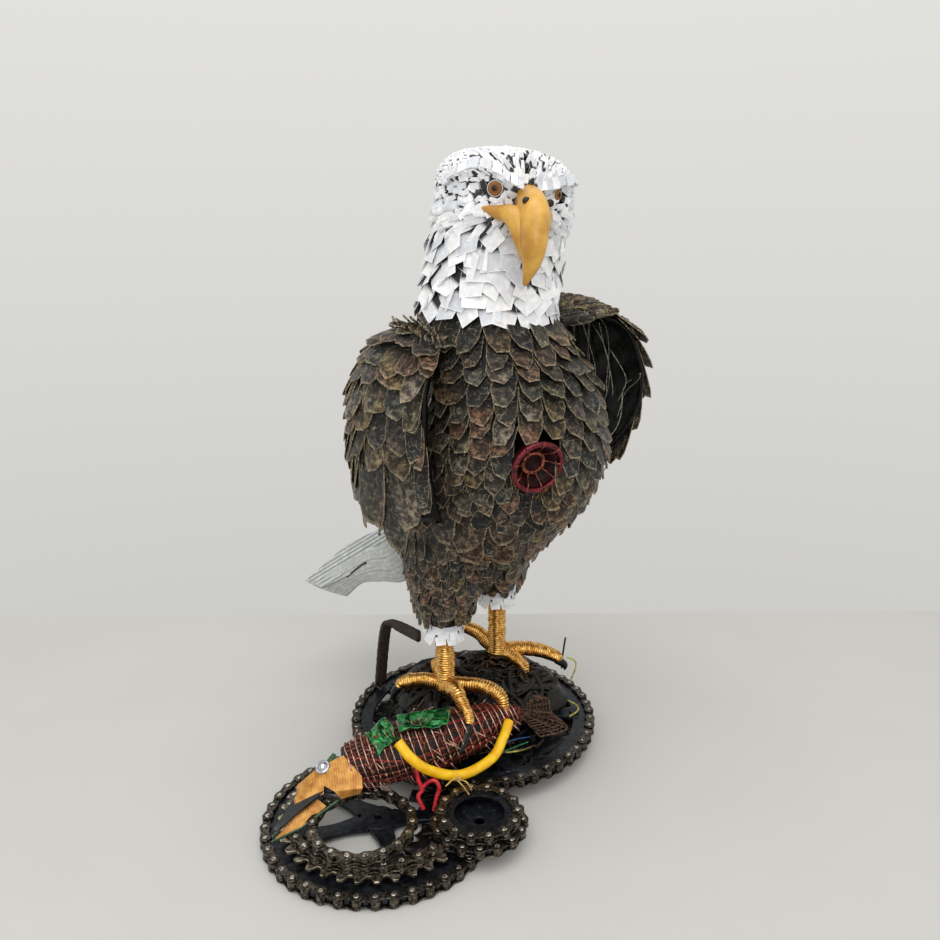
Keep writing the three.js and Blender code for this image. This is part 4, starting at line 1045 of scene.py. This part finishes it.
ROSETTE_AT = np.array([-36.5, -115, 281])
ROSETTE_AIM = np.array([-0.30, -0.92, -0.24])
ROSETTE_CLEAR, TIP_CLEAR = 19.5, 15.0  # how far feathers and their tips stay from its middle
HOLLOW_RADIUS, HOLLOW_DEPTH = 19, 16  # of the place let into the core for it
CORE_UNDER = 1.6
UNEVEN_BELOW = 0.46
body_surface = barrel(BODY_SECTIONS)
t, angle = rounds(60, 64)
hollow = np.linalg.norm(body_surface(t, angle, 0 * t) - ROSETTE_AT, axis=-1)
core = body_surface(t, angle, -CORE_UNDER - HOLLOW_DEPTH * np.clip(1.6 - hollow / HOLLOW_RADIUS, 0, 1))
lay("body_core", stack(to_room(core)), tar_black, "feather_brown", "feathered_body")

t, angle = rows_down(body_surface, spacing=12.8, width=16.0, bottom=0.03)
spot = body_surface(t, angle, 0 * t)
gaps = [np.linalg.norm(spot + reach * DOWN - ROSETTE_AT, axis=1) for reach in (-7, 4, 14)]
open_to = (np.min(gaps[:2], axis=0) > ROSETTE_CLEAR) & (gaps[2] > TIP_CLEAR)
t, angle = t[open_to], angle[open_to]
uneven = t < UNEVEN_BELOW
size = np.where(uneven, 24.5, 26.5), np.where(uneven, 15.5, 17)
coat = plates(body_surface, t, angle, DOWN, size, PENTAGON, lift=np.where(uneven, 7.5, 6.6), seed=5,
              twist=np.where(uneven, 0.36, 0.15), crinkle=0.3)
lay_feathers("body_feathers", coat, BROWNS, 6)

# Long smooth plates on the flank below the right wing, and fine copper and brass wire glued across the
# lower belly.
brass_wire = worn("brass_wire", "#4a3416", "#b08a4e", (0.25, 0.4), metal=0.9, grain=2, relief=0.2)
QUILL = [(0, 0.85), (0.3, 1.0), (0.62, 1.0), (0.86, 0.86), (1, 0.45)]
turns = np.repeat(np.linspace(2.5, 4.0, 6), 2)
flank = plates(body_surface, np.tile([0.30, 0.40], 6), turns, DOWN, (62, 28), QUILL, lift=7.0, seed=11,
               twist=0.1, bow=1.6, crinkle=0.1, columns=5)
lay_feathers("flank_plates", flank, BROWNS[:5], 12)
draw = np.random.default_rng(14)
threads = []
for k in range(46):
    s = np.linspace(0, 1, 9)
    start, turn_to, reach = draw.uniform(0.1, 0.5), draw.uniform(-2.9, -0.4), draw.uniform(-0.22, 0.22)
    bend = draw.uniform(-0.06, 0.06)
    lift_off = draw.uniform(5, 7.5)
    up_to = start + bend * s + 0.03 * np.sin(5 * s + k)
    path = body_surface(up_to, turn_to + reach * s, lift_off + 1.2 * np.sin(7 * s))
    threads.append(tube(to_room(path), 0.35, 4))
lay("belly_threads", bundle(threads), brass_wire, "copper_wire")

# The thighs: narrower strips in ragged rows, hanging to just above the shanks.
THIGH_GIRTHS = [(0, 17), (0.25, 24), (0.6, 31), (1, 36)]
STRIP = [(0, 0.8), (0.3, 1.0), (0.7, 0.95), (0.9, 0.7), (1, 0.4)]
for side, (sole, top, toes) in FEET.items():
    c, s = math.cos(EAGLE_TURN), math.sin(EAGLE_TURN)
    low = (np.array(top) - EAGLE_AT) @ np.array([[c, -s, 0], [s, c, 0], [0, 0, 1]]) + [0, 0, 5]
    high = np.array([low[0] * 0.8, low[1] * 0.6, 214])
    middles = [low + share * (high - low) for share, r in THIGH_GIRTHS]
    sections = np.array([[m[2], m[0], m[1], r, r * 1.08] for m, (share, r) in zip(middles, THIGH_GIRTHS)])
    thigh = barrel(sections)
    t, angle = rounds(24, 36)
    lay(f"{side}_thigh_core", stack(to_room(thigh(t, angle, -1.5 + 0 * t))), tar_black, "feather_brown")
    t, angle = rows_down(thigh, spacing=8.0, width=9.5, top=0.9, bottom=0.19)
    strips = plates(thigh, t, angle, DOWN, (21, 10.5), STRIP, lift=4.6, seed=8, twist=0.22)
    lay_feathers(f"{side}_thigh_feathers", strips, BROWNS, 9)

# The wings: half folded, a black shell with irregular feathers in stepped rows outside, small on the
# shoulder and long at the bottom, narrow slats standing on the shoulder's top, and bare tar inside.
WINGS = {
    "right": (-1, [[97, 232, -62, 60], [106, 270, -62, 62], [109, 306, -62, 56], [105, 342, -60, 46],
                   [92, 368, -56, 32], [72, 378, -50, 14], [52, 374, -44, 0]]),
    "left": (1, [[88, 246, -70, 52], [109, 274, -84, 60], [120, 306, -91, 60], [119, 342, -90, 50],
                 [105, 375, -82, 35], [79, 390, -69, 15], [42, 382, -58, 0]]),
}
WING_ROWS = [  # how far up the wing, first place from the front, how many, length and width, lift
    (0.20, 0.20, 4, 80, 30, 5.0), (0.165, 0.14, 4, 86, 32, 7.0), (0.31, 0.20, 5, 44, 26, 6.0),
    (0.39, 0.12, 6, 42, 25, 6.0), (0.48, 0.16, 6, 40, 25, 6.0), (0.57, 0.08, 6, 38, 24, 5.5),
    (0.65, 0.10, 6, 34, 22, 5.0), (0.74, 0.06, 7, 30, 19, 4.5), (0.83, 0.08, 7, 26, 17, 4.0)]
BACK_EDGES, FRONT_EDGES = 26, 9  # narrow feathers on edge along the back, and along the front
BACK_WAY, FRONT_WAY = np.array([[0, 0.5, -1.0], [0, -0.06, -1.0]])
SLAT_LEVELS = (0.84, 0.9, 0.955)
UNDER_TIPS = 5  # the shell lies this far in from the outline, to leave room for the feathers


def wing_skin(hand, sections):
    """A point on a wing's shell: up it by t from the lowest tips over the shoulder, across by u from front
    to back, and out. Below t = 0 it carries straight on down. The edges curl in, more at the back."""
    table = np.array(sections, float)

    def surface(t, u, out):
        at = smooth_curve(table, t)
        way = course(table, t)
        x, z = way[..., 0], way[..., 1]
        size = np.hypot(x, z)
        curl = np.where(u < 0.5, 9.0, 36.0)
        lift = out - UNDER_TIPS - curl * (2 * np.clip(u, 0, 1) - 1) ** 2
        below = np.minimum(t, 0) * 235
        y = at[..., 2] + (at[..., 3] - at[..., 2]) * u - 0.4 * below
        return np.stack([hand * (at[..., 0] + lift * z / size), y, at[..., 1] - lift * x / size + below], -1)
    return surface


pale_wire = worn("pale_wire", "#6f6a60", "#c9c3b4", (0.25, 0.4), metal=0.7, grain=2, relief=0.1)
for side, (hand, sections) in WINGS.items():
    skin = wing_skin(hand, sections)
    t, u = np.meshgrid(np.linspace(0, 1, 60), np.linspace(0, 1, 40), indexing="ij")
    unrolled = np.stack([200 * t, 120 * u, 0 * t], -1)
    dents = ripple(unrolled, 18, 70) + 0.5 * ripple(unrolled, 6, 71)
    outer, inner = to_room(skin(t, u, 0 * t)), to_room(skin(t, u, -3 - 0.9 * dents))
    shell = crust(outer, inner) if hand < 0 else crust(inner, outer)
    lay(f"{side}_wing_shell", shell, tar_black, "feather_brown", f"{side}_wing")
    sets = []
    for k, (up_to, first, count, length, width, lift) in enumerate(WING_ROWS):
        u = first + (np.arange(count) + 0.3 * (k % 2)) * (1 - first) / (count - 0.5)
        toward = np.stack([0 * u, 0.08 + 0.4 * u, 0 * u - 1], -1)
        jog = np.random.default_rng(k).uniform(-0.025, 0.025, count)
        sets.append(plates(skin, up_to + jog, u, toward, (length, width), QUILL, lift, seed=30 + k,
                           twist=0.19, bow=1.2, crinkle=0.2, columns=5))
    draw = np.random.default_rng(40)
    t, u = draw.uniform(0.08, 0.66, BACK_EDGES), draw.uniform(0.55, 0.98, BACK_EDGES)
    sets.append(plates(skin, t, u, BACK_WAY, (52, 9), STRIP, lift=7, seed=41, roll=0.9, twist=0.1))
    t, u = draw.uniform(0.12, 0.72, FRONT_EDGES), draw.uniform(0.02, 0.08, FRONT_EDGES)
    sets.append(plates(skin, t, u, FRONT_WAY, (44, 13), QUILL, lift=5, seed=42, roll=-0.3, twist=0.08))
    u = np.linspace(0.02, 0.97, 17)
    way = np.array([hand * 1.0, -0.35, -0.2])
    for level in SLAT_LEVELS:
        sets.append(plates(skin, level + 0 * u, u, way, (24, 7.5), STRIP, lift=5, seed=43,
                           roll=0.75 * hand, twist=0.08))
    shapes, places, numbers = zip(*sets)
    starts = np.cumsum([0] + [number[-1] + 1 for number in numbers[:-1]])
    number = np.concatenate([number + start for number, start in zip(numbers, starts)])
    lay_feathers(f"{side}_wing_feathers", (bundle(shapes), np.concatenate(places), number), BROWNS, 33 + hand)
    lines = []
    for k in range(14):
        s = np.linspace(0, 1, 24)
        up_to = 0.1 + 0.07 * k % 0.3 + (0.3 + 0.025 * k) * s + 0.06 * np.sin(3 * s + k)
        aside = 0.06 + 0.05 * k + 0.12 * np.sin(3 * s + 2 * k) * s
        lines.append(tube(to_room(skin(up_to, aside, -4.8 + 0.7 * np.sin(9 * s + k))), 0.4, 5))
    lay(f"{side}_wing_wires", bundle(lines), pale_wire, "copper_wire")

# The tail: five long plates of grey-white plastic, fanned out behind and below like a roof, four of them
# ribbed. The near one is broad and nearly flat, creased and slit along its middle. The grooves between the
# ribs and the creases are painted grey as painted shade, and the slit is painted black as painted shade.
TAIL_FROM = np.array([0, 60, 201])
TAIL_FALL = math.radians(38.5)
TAIL_SPREAD = math.radians(25)
TAIL_ROLL = math.radians(62)
TAIL_LENGTH = 164
RIB_WIDTH = 4.6
NEAR_UPPER = [(34, 174, 196), (-6, 169, 169), (-24, 181, 159), (-52, 200, 134), (-83, 220, 107)]
NEAR_LOWER = [(40, 166, 172), (15, 163, 136), (-10, 177, 128), (-31, 194, 119), (-49, 212, 98)]
tail_white = plate_paint("tail_white", rough=(0.6, 0.4), rim="#dfe2e2", scratch=0.1, mottle=0.25, coat=0.0,
                         root_shade="#ffffff", relief=0.1)
fan, rib_shade = [], []
for k in range(4):
    place = k / 2 - 1
    y = np.linspace(6, TAIL_LENGTH, 50)
    left = np.interp(y, [6, 94, TAIL_LENGTH - 22, TAIL_LENGTH], [-6, -18, -14, 3.5])
    right = np.interp(y, [6, 108, TAIL_LENGTH], [6, 18, 4])
    x = left[:, None] + (right - left)[:, None] * np.linspace(0, 1, 73)
    rib = np.abs(np.sin(x * math.pi / RIB_WIDTH)) ** 0.6
    z = -abs(place) * 5.5 - (2.6 if place > 0 else 0) + 1.3 + 0.9 * rib - 0.0036 * x**2
    top = np.stack([x, y[:, None] + 0 * x, z], -1)
    sheet = np.stack([top, top - [0, 0, 1.8]])
    for axis, angle in (("Y", place * TAIL_ROLL), ("Z", -place * TAIL_SPREAD), ("X", -TAIL_FALL)):
        sheet = sheet @ np.array(Matrix.Rotation(angle, 3, axis)).T
    sheet = to_room(sheet + TAIL_FROM)
    fan.append(crust(sheet[0].swapaxes(0, 1), sheet[1].swapaxes(0, 1)))
    rib_shade.append(np.tile(rib.T.ravel(), 2))
s, v = np.linspace(0, 1, 80), np.linspace(0, 1, 49)
upper, lower = smooth_curve(NEAR_UPPER, s)[:, None], smooth_curve(NEAR_LOWER, s)[:, None]
flat = upper + v[:, None] * (lower - upper)
toward = unit(np.cross(flat[-1, 0] - flat[0, 0], flat[0, -1] - flat[0, 0]))
lines = np.abs(np.sin(9 * math.pi * v)) ** 0.3 + 0 * s[:, None]
slit_shade = (np.abs(v - 0.46 - 0.1 * np.sin(9 * s)[:, None]) < 0.035) & (np.abs(s[:, None] - 0.66) < 0.12)
flat = flat + ((1 - (2 * v - 1) ** 2) * 3 + 0.4 * lines)[..., None] * toward
fan.append(crust(flat, flat - 1.8 * toward))
rib_shade.append(np.tile(np.where(slit_shade, -0.7, 0.55 + 0.4 * lines).ravel(), 2))
# Tints from the rib amounts: grooves and creases painted darker and the slit black, all painted shade; the
# crests keep the white plastic's colour.
groove_shade, crest = rgb("#4d5254"), rgb("#d3d6d5")
rib_shade = np.concatenate(rib_shade)[:, None]
shape = bundle(fan)
shaded_tones = np.maximum(groove_shade + rib_shade * (crest - groove_shade), 0.01)
inside = np.full((len(shape[0]), 2), 0.6)  # away from the cut edges, for the paint
lay("tail_plates", shape, tail_white, "tail_white", "tail_fan", tint=shaded_tones, uv=inside)

# White cuffs of cut card round the top of each shank.
CARD = [(0, 0.95), (0.5, 1.0), (1, 0.9)]
WHITES = np.array([rgb(colour) for colour in ("#f7f8fb", "#eceef2", "#fcfcfd", "#dfe2e8")])
# The cards' covered roots are painted dark: painted shade under the card above, and the black paint that lies
# below the card edges.
white_card = plate_paint("white_card", rough=(0.7, 0.5), rim="#ffffff", scratch=0.0, mottle=0.16, coat=0.0,
                         root_shade="#24262a", relief=0.15, shade_fade=(0.28, 0.42))
white_core = worn("white_core", "#8d9097", "#c9ccd2", (0.6, 0.8), grain=4, relief=0.3)
for side, (sole, top, toes) in FEET.items():
    x, y, z = top
    cuff = barrel(np.array([[z - 8, x, y, 14.5, 14.5], [z - 1, x, y, 14, 14], [z + 8, x, y, 13, 13]], float))
    t, angle = rounds(6, 24)
    lay(f"{side}_cuff_core", stack(cuff(t, angle, -2 + 0 * t)), white_core, "white_tile", f"{side}_cuff")
    t, angle = rows_down(cuff, spacing=5.5, width=8.5, top=0.95, bottom=0.2)
    shape, uv, number = plates(cuff, t, angle, DOWN, (12, 9.5), CARD, lift=2.6, seed=50, twist=0.3, thick=0.5)
    colours = tints(len(t), WHITES, 51, 0.06)
    lay(f"{side}_cuff_cards", shape, white_card, "white_tile", tint=colours[number], uv=uv, smooth=False)

# The rosette on the chest: a red-enamelled dish with a rolled rim, dark inside, with a copper-wound ring
# round the hole in its middle and wires from the ring to the rim.
RIM_RADIUS, HUB_RADIUS = 18.4, 8
SPOKES = 9
BOWL = [(6.5, -11), (16, -8), (RIM_RADIUS - 1, 0), (RIM_RADIUS - 2.5, 1.5), (13, -4.5), (8, -8.5),
        (6.5, -10.9)]  # radius and height
SPOKE = np.array([(8.2, -5), (11, -3), (15, 2.4), (RIM_RADIUS + 1.5, 4.2)])
red_enamel = worn("red_enamel", "#30080e", "#7c1622", (0.2, 0.4), metal=0.5, grain=3, relief=0.6, coat=0.1)
dish_dark = worn("dish_dark", "#0a0304", "#330a11", (0.4, 0.6), grain=3, relief=0.4, shine=0.15)


def on_chest(shape):
    """A shape about the rosette's own axis, at its place on the chest."""
    return to_room(aimed(shape[0], ROSETTE_AT, ROSETTE_AIM)), shape[1]


lay("rosette_bowl", on_chest(turned(BOWL, 48)), dish_dark, "red_enamel")
a = np.linspace(0, 2 * math.pi, 181)
rim_path = np.stack([RIM_RADIUS * np.cos(a), RIM_RADIUS * np.sin(a), 0 * a + 2], -1)
rim = tube(rim_path, 1.9 + 0.3 * np.abs(np.sin(22 * a))[:, None] + np.zeros(12), 12)
lay("rosette_rim", on_chest(rim), red_enamel, "red_enamel", "chest_rosette")
hub_path = np.stack([HUB_RADIUS * np.cos(a), HUB_RADIUS * np.sin(a), 0 * a - 6], -1)
wires = [tube(hub_path, 1.5 + 0.4 * np.abs(np.sin(24 * a))[:, None] + np.zeros(10), 10)]
r, z = SPOKE.T
for turn in bearings(SPOKES):
    spoke = np.stack([r * math.cos(turn), r * math.sin(turn), z], -1)
    wires.append(tube(smooth_curve(spoke, np.linspace(0, 1, 12)), 0.55, 6, (0.1, 0.2, 1)))
lay("rosette_wires", on_chest(bundle(wires)), copper_wire, "copper_wire")

# The head and neck: white card on a black core that shows between the cards. The neck has uneven squares,
# the cheeks long strips, the face small ones running back from the beak, and the crown fine ones.
NECK_AT = np.array([86.5, 100, 372.6])
HEAD_TURN = math.radians(19)
HEAD_ROLL = math.radians(5)
HEAD_SECTIONS = np.array([
    [6, 0, 0, 49, 49], [24, 0, 0, 48, 48], [46, 1, -1, 46.5, 47.5], [66, 2, -3, 46.5, 48.5],
    [84, 3, -5, 49, 50], [97, 3, -5, 49, 50], [112, 3, -4, 44, 46], [121, 3, -3, 31, 34],
    [126, 3, -2, 4, 5]], float)
EYES_ABOUT = np.array([3, -5, 95])
EYES = {"right": (-1, 28, 47.5, 7.2), "left": (1, 25.5, 48, 5.6)}  # side, degrees aside, distance out, radius
BEAK_ROOT = np.array([0, -56, 88.0])
head_axes = np.array(Matrix.Rotation(HEAD_TURN, 3, "Z") @ Matrix.Rotation(HEAD_ROLL, 3, "Y"))


def on_neck(points):
    """Points in the head's own frame, up from the collar with the face at -y, in the front ring's frame."""
    return points @ head_axes.T + NECK_AT


def eye_place(side):
    """The middle of an eye in the head's own frame, and the way it looks."""
    hand, aside, out, radius = EYES[side]
    looks = np.array([hand * math.sin(math.radians(aside)), -math.cos(math.radians(aside)), 0.0])
    return EYES_ABOUT + out * looks, looks


head_surface = barrel(HEAD_SECTIONS)
t, angle = rounds(48, 64)
lay("head_core", stack(on_neck(head_surface(t, angle, -2.4 + 0 * t))), core_black, "white_tile", "white_head")


def cards(name, region, spacing, width, size, lift, cut, seed, twist, back, clear, flecks):
    """Rows of white cards on the head between two shares of its height. back is how far they turn from
    hanging down to pointing away from the beak. None lie nearer the eyes and the beak than clear, and a
    share of them, flecks, is black."""
    t, angle = rows_down(head_surface, spacing, width, top=region[1], bottom=region[0])
    draw = np.random.default_rng(seed)
    t, angle = t + draw.normal(0, 0.006, len(t)), angle + draw.normal(0, 0.03, len(t))
    spot = head_surface(t, angle, 0 * t)
    room = np.min([np.linalg.norm(spot - eye_place(side)[0], axis=1) for side in EYES], axis=0)
    room = np.minimum(room, np.linalg.norm((spot - BEAK_ROOT) * [1, 1, 0.7], axis=1) - 1)
    t, angle, spot = t[room > clear], angle[room > clear], spot[room > clear]
    toward = (1 - back) * DOWN + back * unit(spot - BEAK_ROOT)
    behind = np.clip((spot[:, 1] + 20) / 40, 0, 1)
    (points, faces), uv, number = plates(head_surface, t, angle, toward, size, cut, lift * (1 + 0.3 * behind),
                                         seed, twist=twist, bow=0.2, crinkle=0.1, thick=0.35)
    colours = tints(len(t), WHITES, seed + 1, 0.06)
    colours[draw.uniform(size=len(t)) < flecks] = 0.012
    lay(name, (on_neck(points), faces), white_card, "white_tile", tint=colours[number], uv=uv, smooth=False)


SLIVER = [(0, 0.75), (0.5, 1.0), (1, 0.7)]
cards("neck_cards", (0.0, 0.36), spacing=10.0, width=14.2, size=(18.5, 17.5), lift=5.0, cut=CARD, seed=60,
      twist=0.45, back=0.0, clear=10, flecks=0.0)
cards("cheek_strips", (0.35, 0.50), spacing=4.6, width=9.6, size=(22, 5.4), lift=3.0, cut=SLIVER, seed=62,
      twist=0.2, back=0.8, clear=11, flecks=0.03)
cards("face_strips", (0.47, 0.68), spacing=3.5, width=5.4, size=(9.5, 4.3), lift=1.5, cut=SLIVER, seed=64,
      twist=0.45, back=0.9, clear=6.5, flecks=0.04)
cards("crown_strips", (0.63, 0.998), spacing=3.8, width=4.0, size=(11, 2.9), lift=1.9, cut=SLIVER, seed=66,
      twist=0.22, back=1.0, clear=9, flecks=0.06)

# Brows of flat card, bent along a ridge from the side of the head over each eye and down to the beak.
BROWS = {
    "right": [(-48, -18, 97), (-44, -33, 105), (-35, -46, 110.5), (-23, -56, 108), (-14, -62, 101),
              (-6, -65, 98)],
    "left": [(49, -20, 104), (43, -37, 108), (33, -47, 106), (20, -56, 102), (10, -62, 99), (4, -65, 98)]}
BANDS = 9
for side, ridge in BROWS.items():
    bands = []
    for k in range(BANDS):
        s = np.linspace((k + 0.04) / BANDS, (k + 0.93) / BANDS, 7)
        path = smooth_curve(ridge, s)
        lean = unit((path - [3, -5, 0]) * [1, 1, 0])
        width = np.interp(s, [0, 0.2, 0.6, 1], [2.2, 3.4, 3.8, 2.8])[:, None]
        across = ((-0.35 + 0.16 * (-1) ** k) * lean + [0, 0, 0.94]) * width * (1 + 0.14 * math.sin(2.6 * k))
        bands.append(ribbon(on_neck(path + (0.6 + 0.9 * (k % 2)) * lean), across @ head_axes.T, 1.6))
    brow = bundle(bands)
    colours = np.repeat(tints(BANDS, WHITES, 68, 0.08), len(bands[0][0]), axis=0)
    inside = np.full((len(brow[0]), 2), 0.6)
    lay(f"{side}_brow", brow, white_card, "white_tile", tint=colours, uv=inside, smooth=False)

# The beak: moulded, ochre yellow and satin. The upper half hooks down over the lower one, whose corners
# run back under the eyes; a nostril is let into each side, its pit painted black as painted shade.
BEAK_SECTIONS = [  # middle, half width and half depth
    (3, -40, 88, 9.5, 12), (2, -58, 87, 10, 12), (-0.5, -74, 78, 10.4, 13),
    (-2, -81, 62, 9.0, 11), (-2.5, -81, 47, 6.2, 7), (-4.5, -77, 33, 1.3, 2)]
JAW_CORNER = np.array([
    (29, -44, 82), (21, -55, 79.5), (12.5, -65, 77), (8, -71, 65), (5, -75, 52), (3, -76, 41)])
JAW_RADII = [1.2, 4.8, 7.6, 7.0, 4.8, 1.6]
NOSTRIL_AT = np.array([-7.6, -75.0, 87.5])
NOSTRIL_SIZE = np.array([2.8, 2.4, 2.6])
horn = worn("horn", "#b58129", "#dcab49", (0.28, 0.42), grain=16, relief=0.05, coat=0.2)
s = np.linspace(0, 1, 110)
rows = smooth_curve(BEAK_SECTIONS, s)
path, half, deep = rows[:, :3], rows[:, 3:4], rows[:, 4:]
along = unit(np.gradient(path, axis=0))
up = -np.cross([1.0, 0, 0], along)
ring = bearings(56)
hook = path[:, None] + (half * np.cos(ring))[..., None] * [1.0, 0, 0]
hook = hook + (deep * np.sin(ring))[..., None] * up[:, None]
lay("beak_hook", stack(on_neck(hook)), horn, "beak_yellow", "beak")


def globe(rings, sides, near):
    """A ball of radius one as rings from near its top to its bottom, with each point's polar angle and
    bearing."""
    polar, around = np.meshgrid(np.linspace(near, math.pi - near, rings), bearings(sides), indexing="ij")
    flat = np.sin(polar)
    return np.stack([flat * np.cos(around), flat * np.sin(around), np.cos(polar)], -1), polar, around


# Each nostril is a pit in the cores' black: painted shade in the hole.
for hand, side in ((-1, "right"), (1, "left")):
    pit = globe(12, 20, 0.05)[0] * NOSTRIL_SIZE
    spot = (NOSTRIL_AT - [1, 0, 0]) * [-hand, 1, 1] + [1, 0, 0]
    lay(f"{side}_nostril", stack(on_neck(pit[::-1] + spot)), core_black, "beak_yellow")
s = np.linspace(0, 1, 40)
thickness = np.interp(s, np.linspace(0, 1, len(JAW_RADII)), JAW_RADII)[:, None] + np.zeros(20)
jaws = []
for hand in (-1, 1):
    corner = JAW_CORNER if hand < 0 else JAW_CORNER[:5] * [0.62, 1, 1]
    jaws.append(tube(on_neck(smooth_curve(corner * [hand, 1, 1] + [1, 0, 0], s)), thickness, 20))
lay("beak_lower", bundle(jaws), horn, "beak_yellow")

# The eyes: brown glass with a black pupil and a thin pale ring round the iris.
eye_amber = bpy.data.materials.new("eye_amber")
eye_amber.use_nodes = True
tree = eye_amber.node_tree
out_from_pupil = knot(tree, "SeparateXYZ", {"Vector": knot(tree, "TexCoord").outputs["UV"]}).outputs["Y"]
iris = ramp(tree, out_from_pupil, [
    (0.0, "#050505"), (0.065, "#060504"), (0.085, "#5e3a18"), (0.19, "#9a6935"),
    (0.225, "#3a2412"), (0.25, "#d2cfc8"), (0.28, "#a9a59c"), (0.31, "#0c0b0a")])
eye_shader = tree.nodes["Principled BSDF"]
tree.links.new(iris, eye_shader.inputs["Base Color"])
eye_shader.inputs["Roughness"].default_value = 0.12
eye_shader.inputs["Specular IOR Level"].default_value = 0.25
eye_shader.inputs["Coat Weight"].default_value = 0.1
for side, (hand, aside, out, radius) in EYES.items():
    ball, polar, around = globe(24, 32, 0.02)
    placed = on_neck(aimed(radius * ball, *eye_place(side)))[::-1]
    flat = np.stack([around / (2 * math.pi), polar / math.pi], -1)[::-1]
    lay(f"{side}_eye_glass", stack(placed), eye_amber, "eye_amber", f"{side}_eye", uv=flat.reshape(-1, 2))
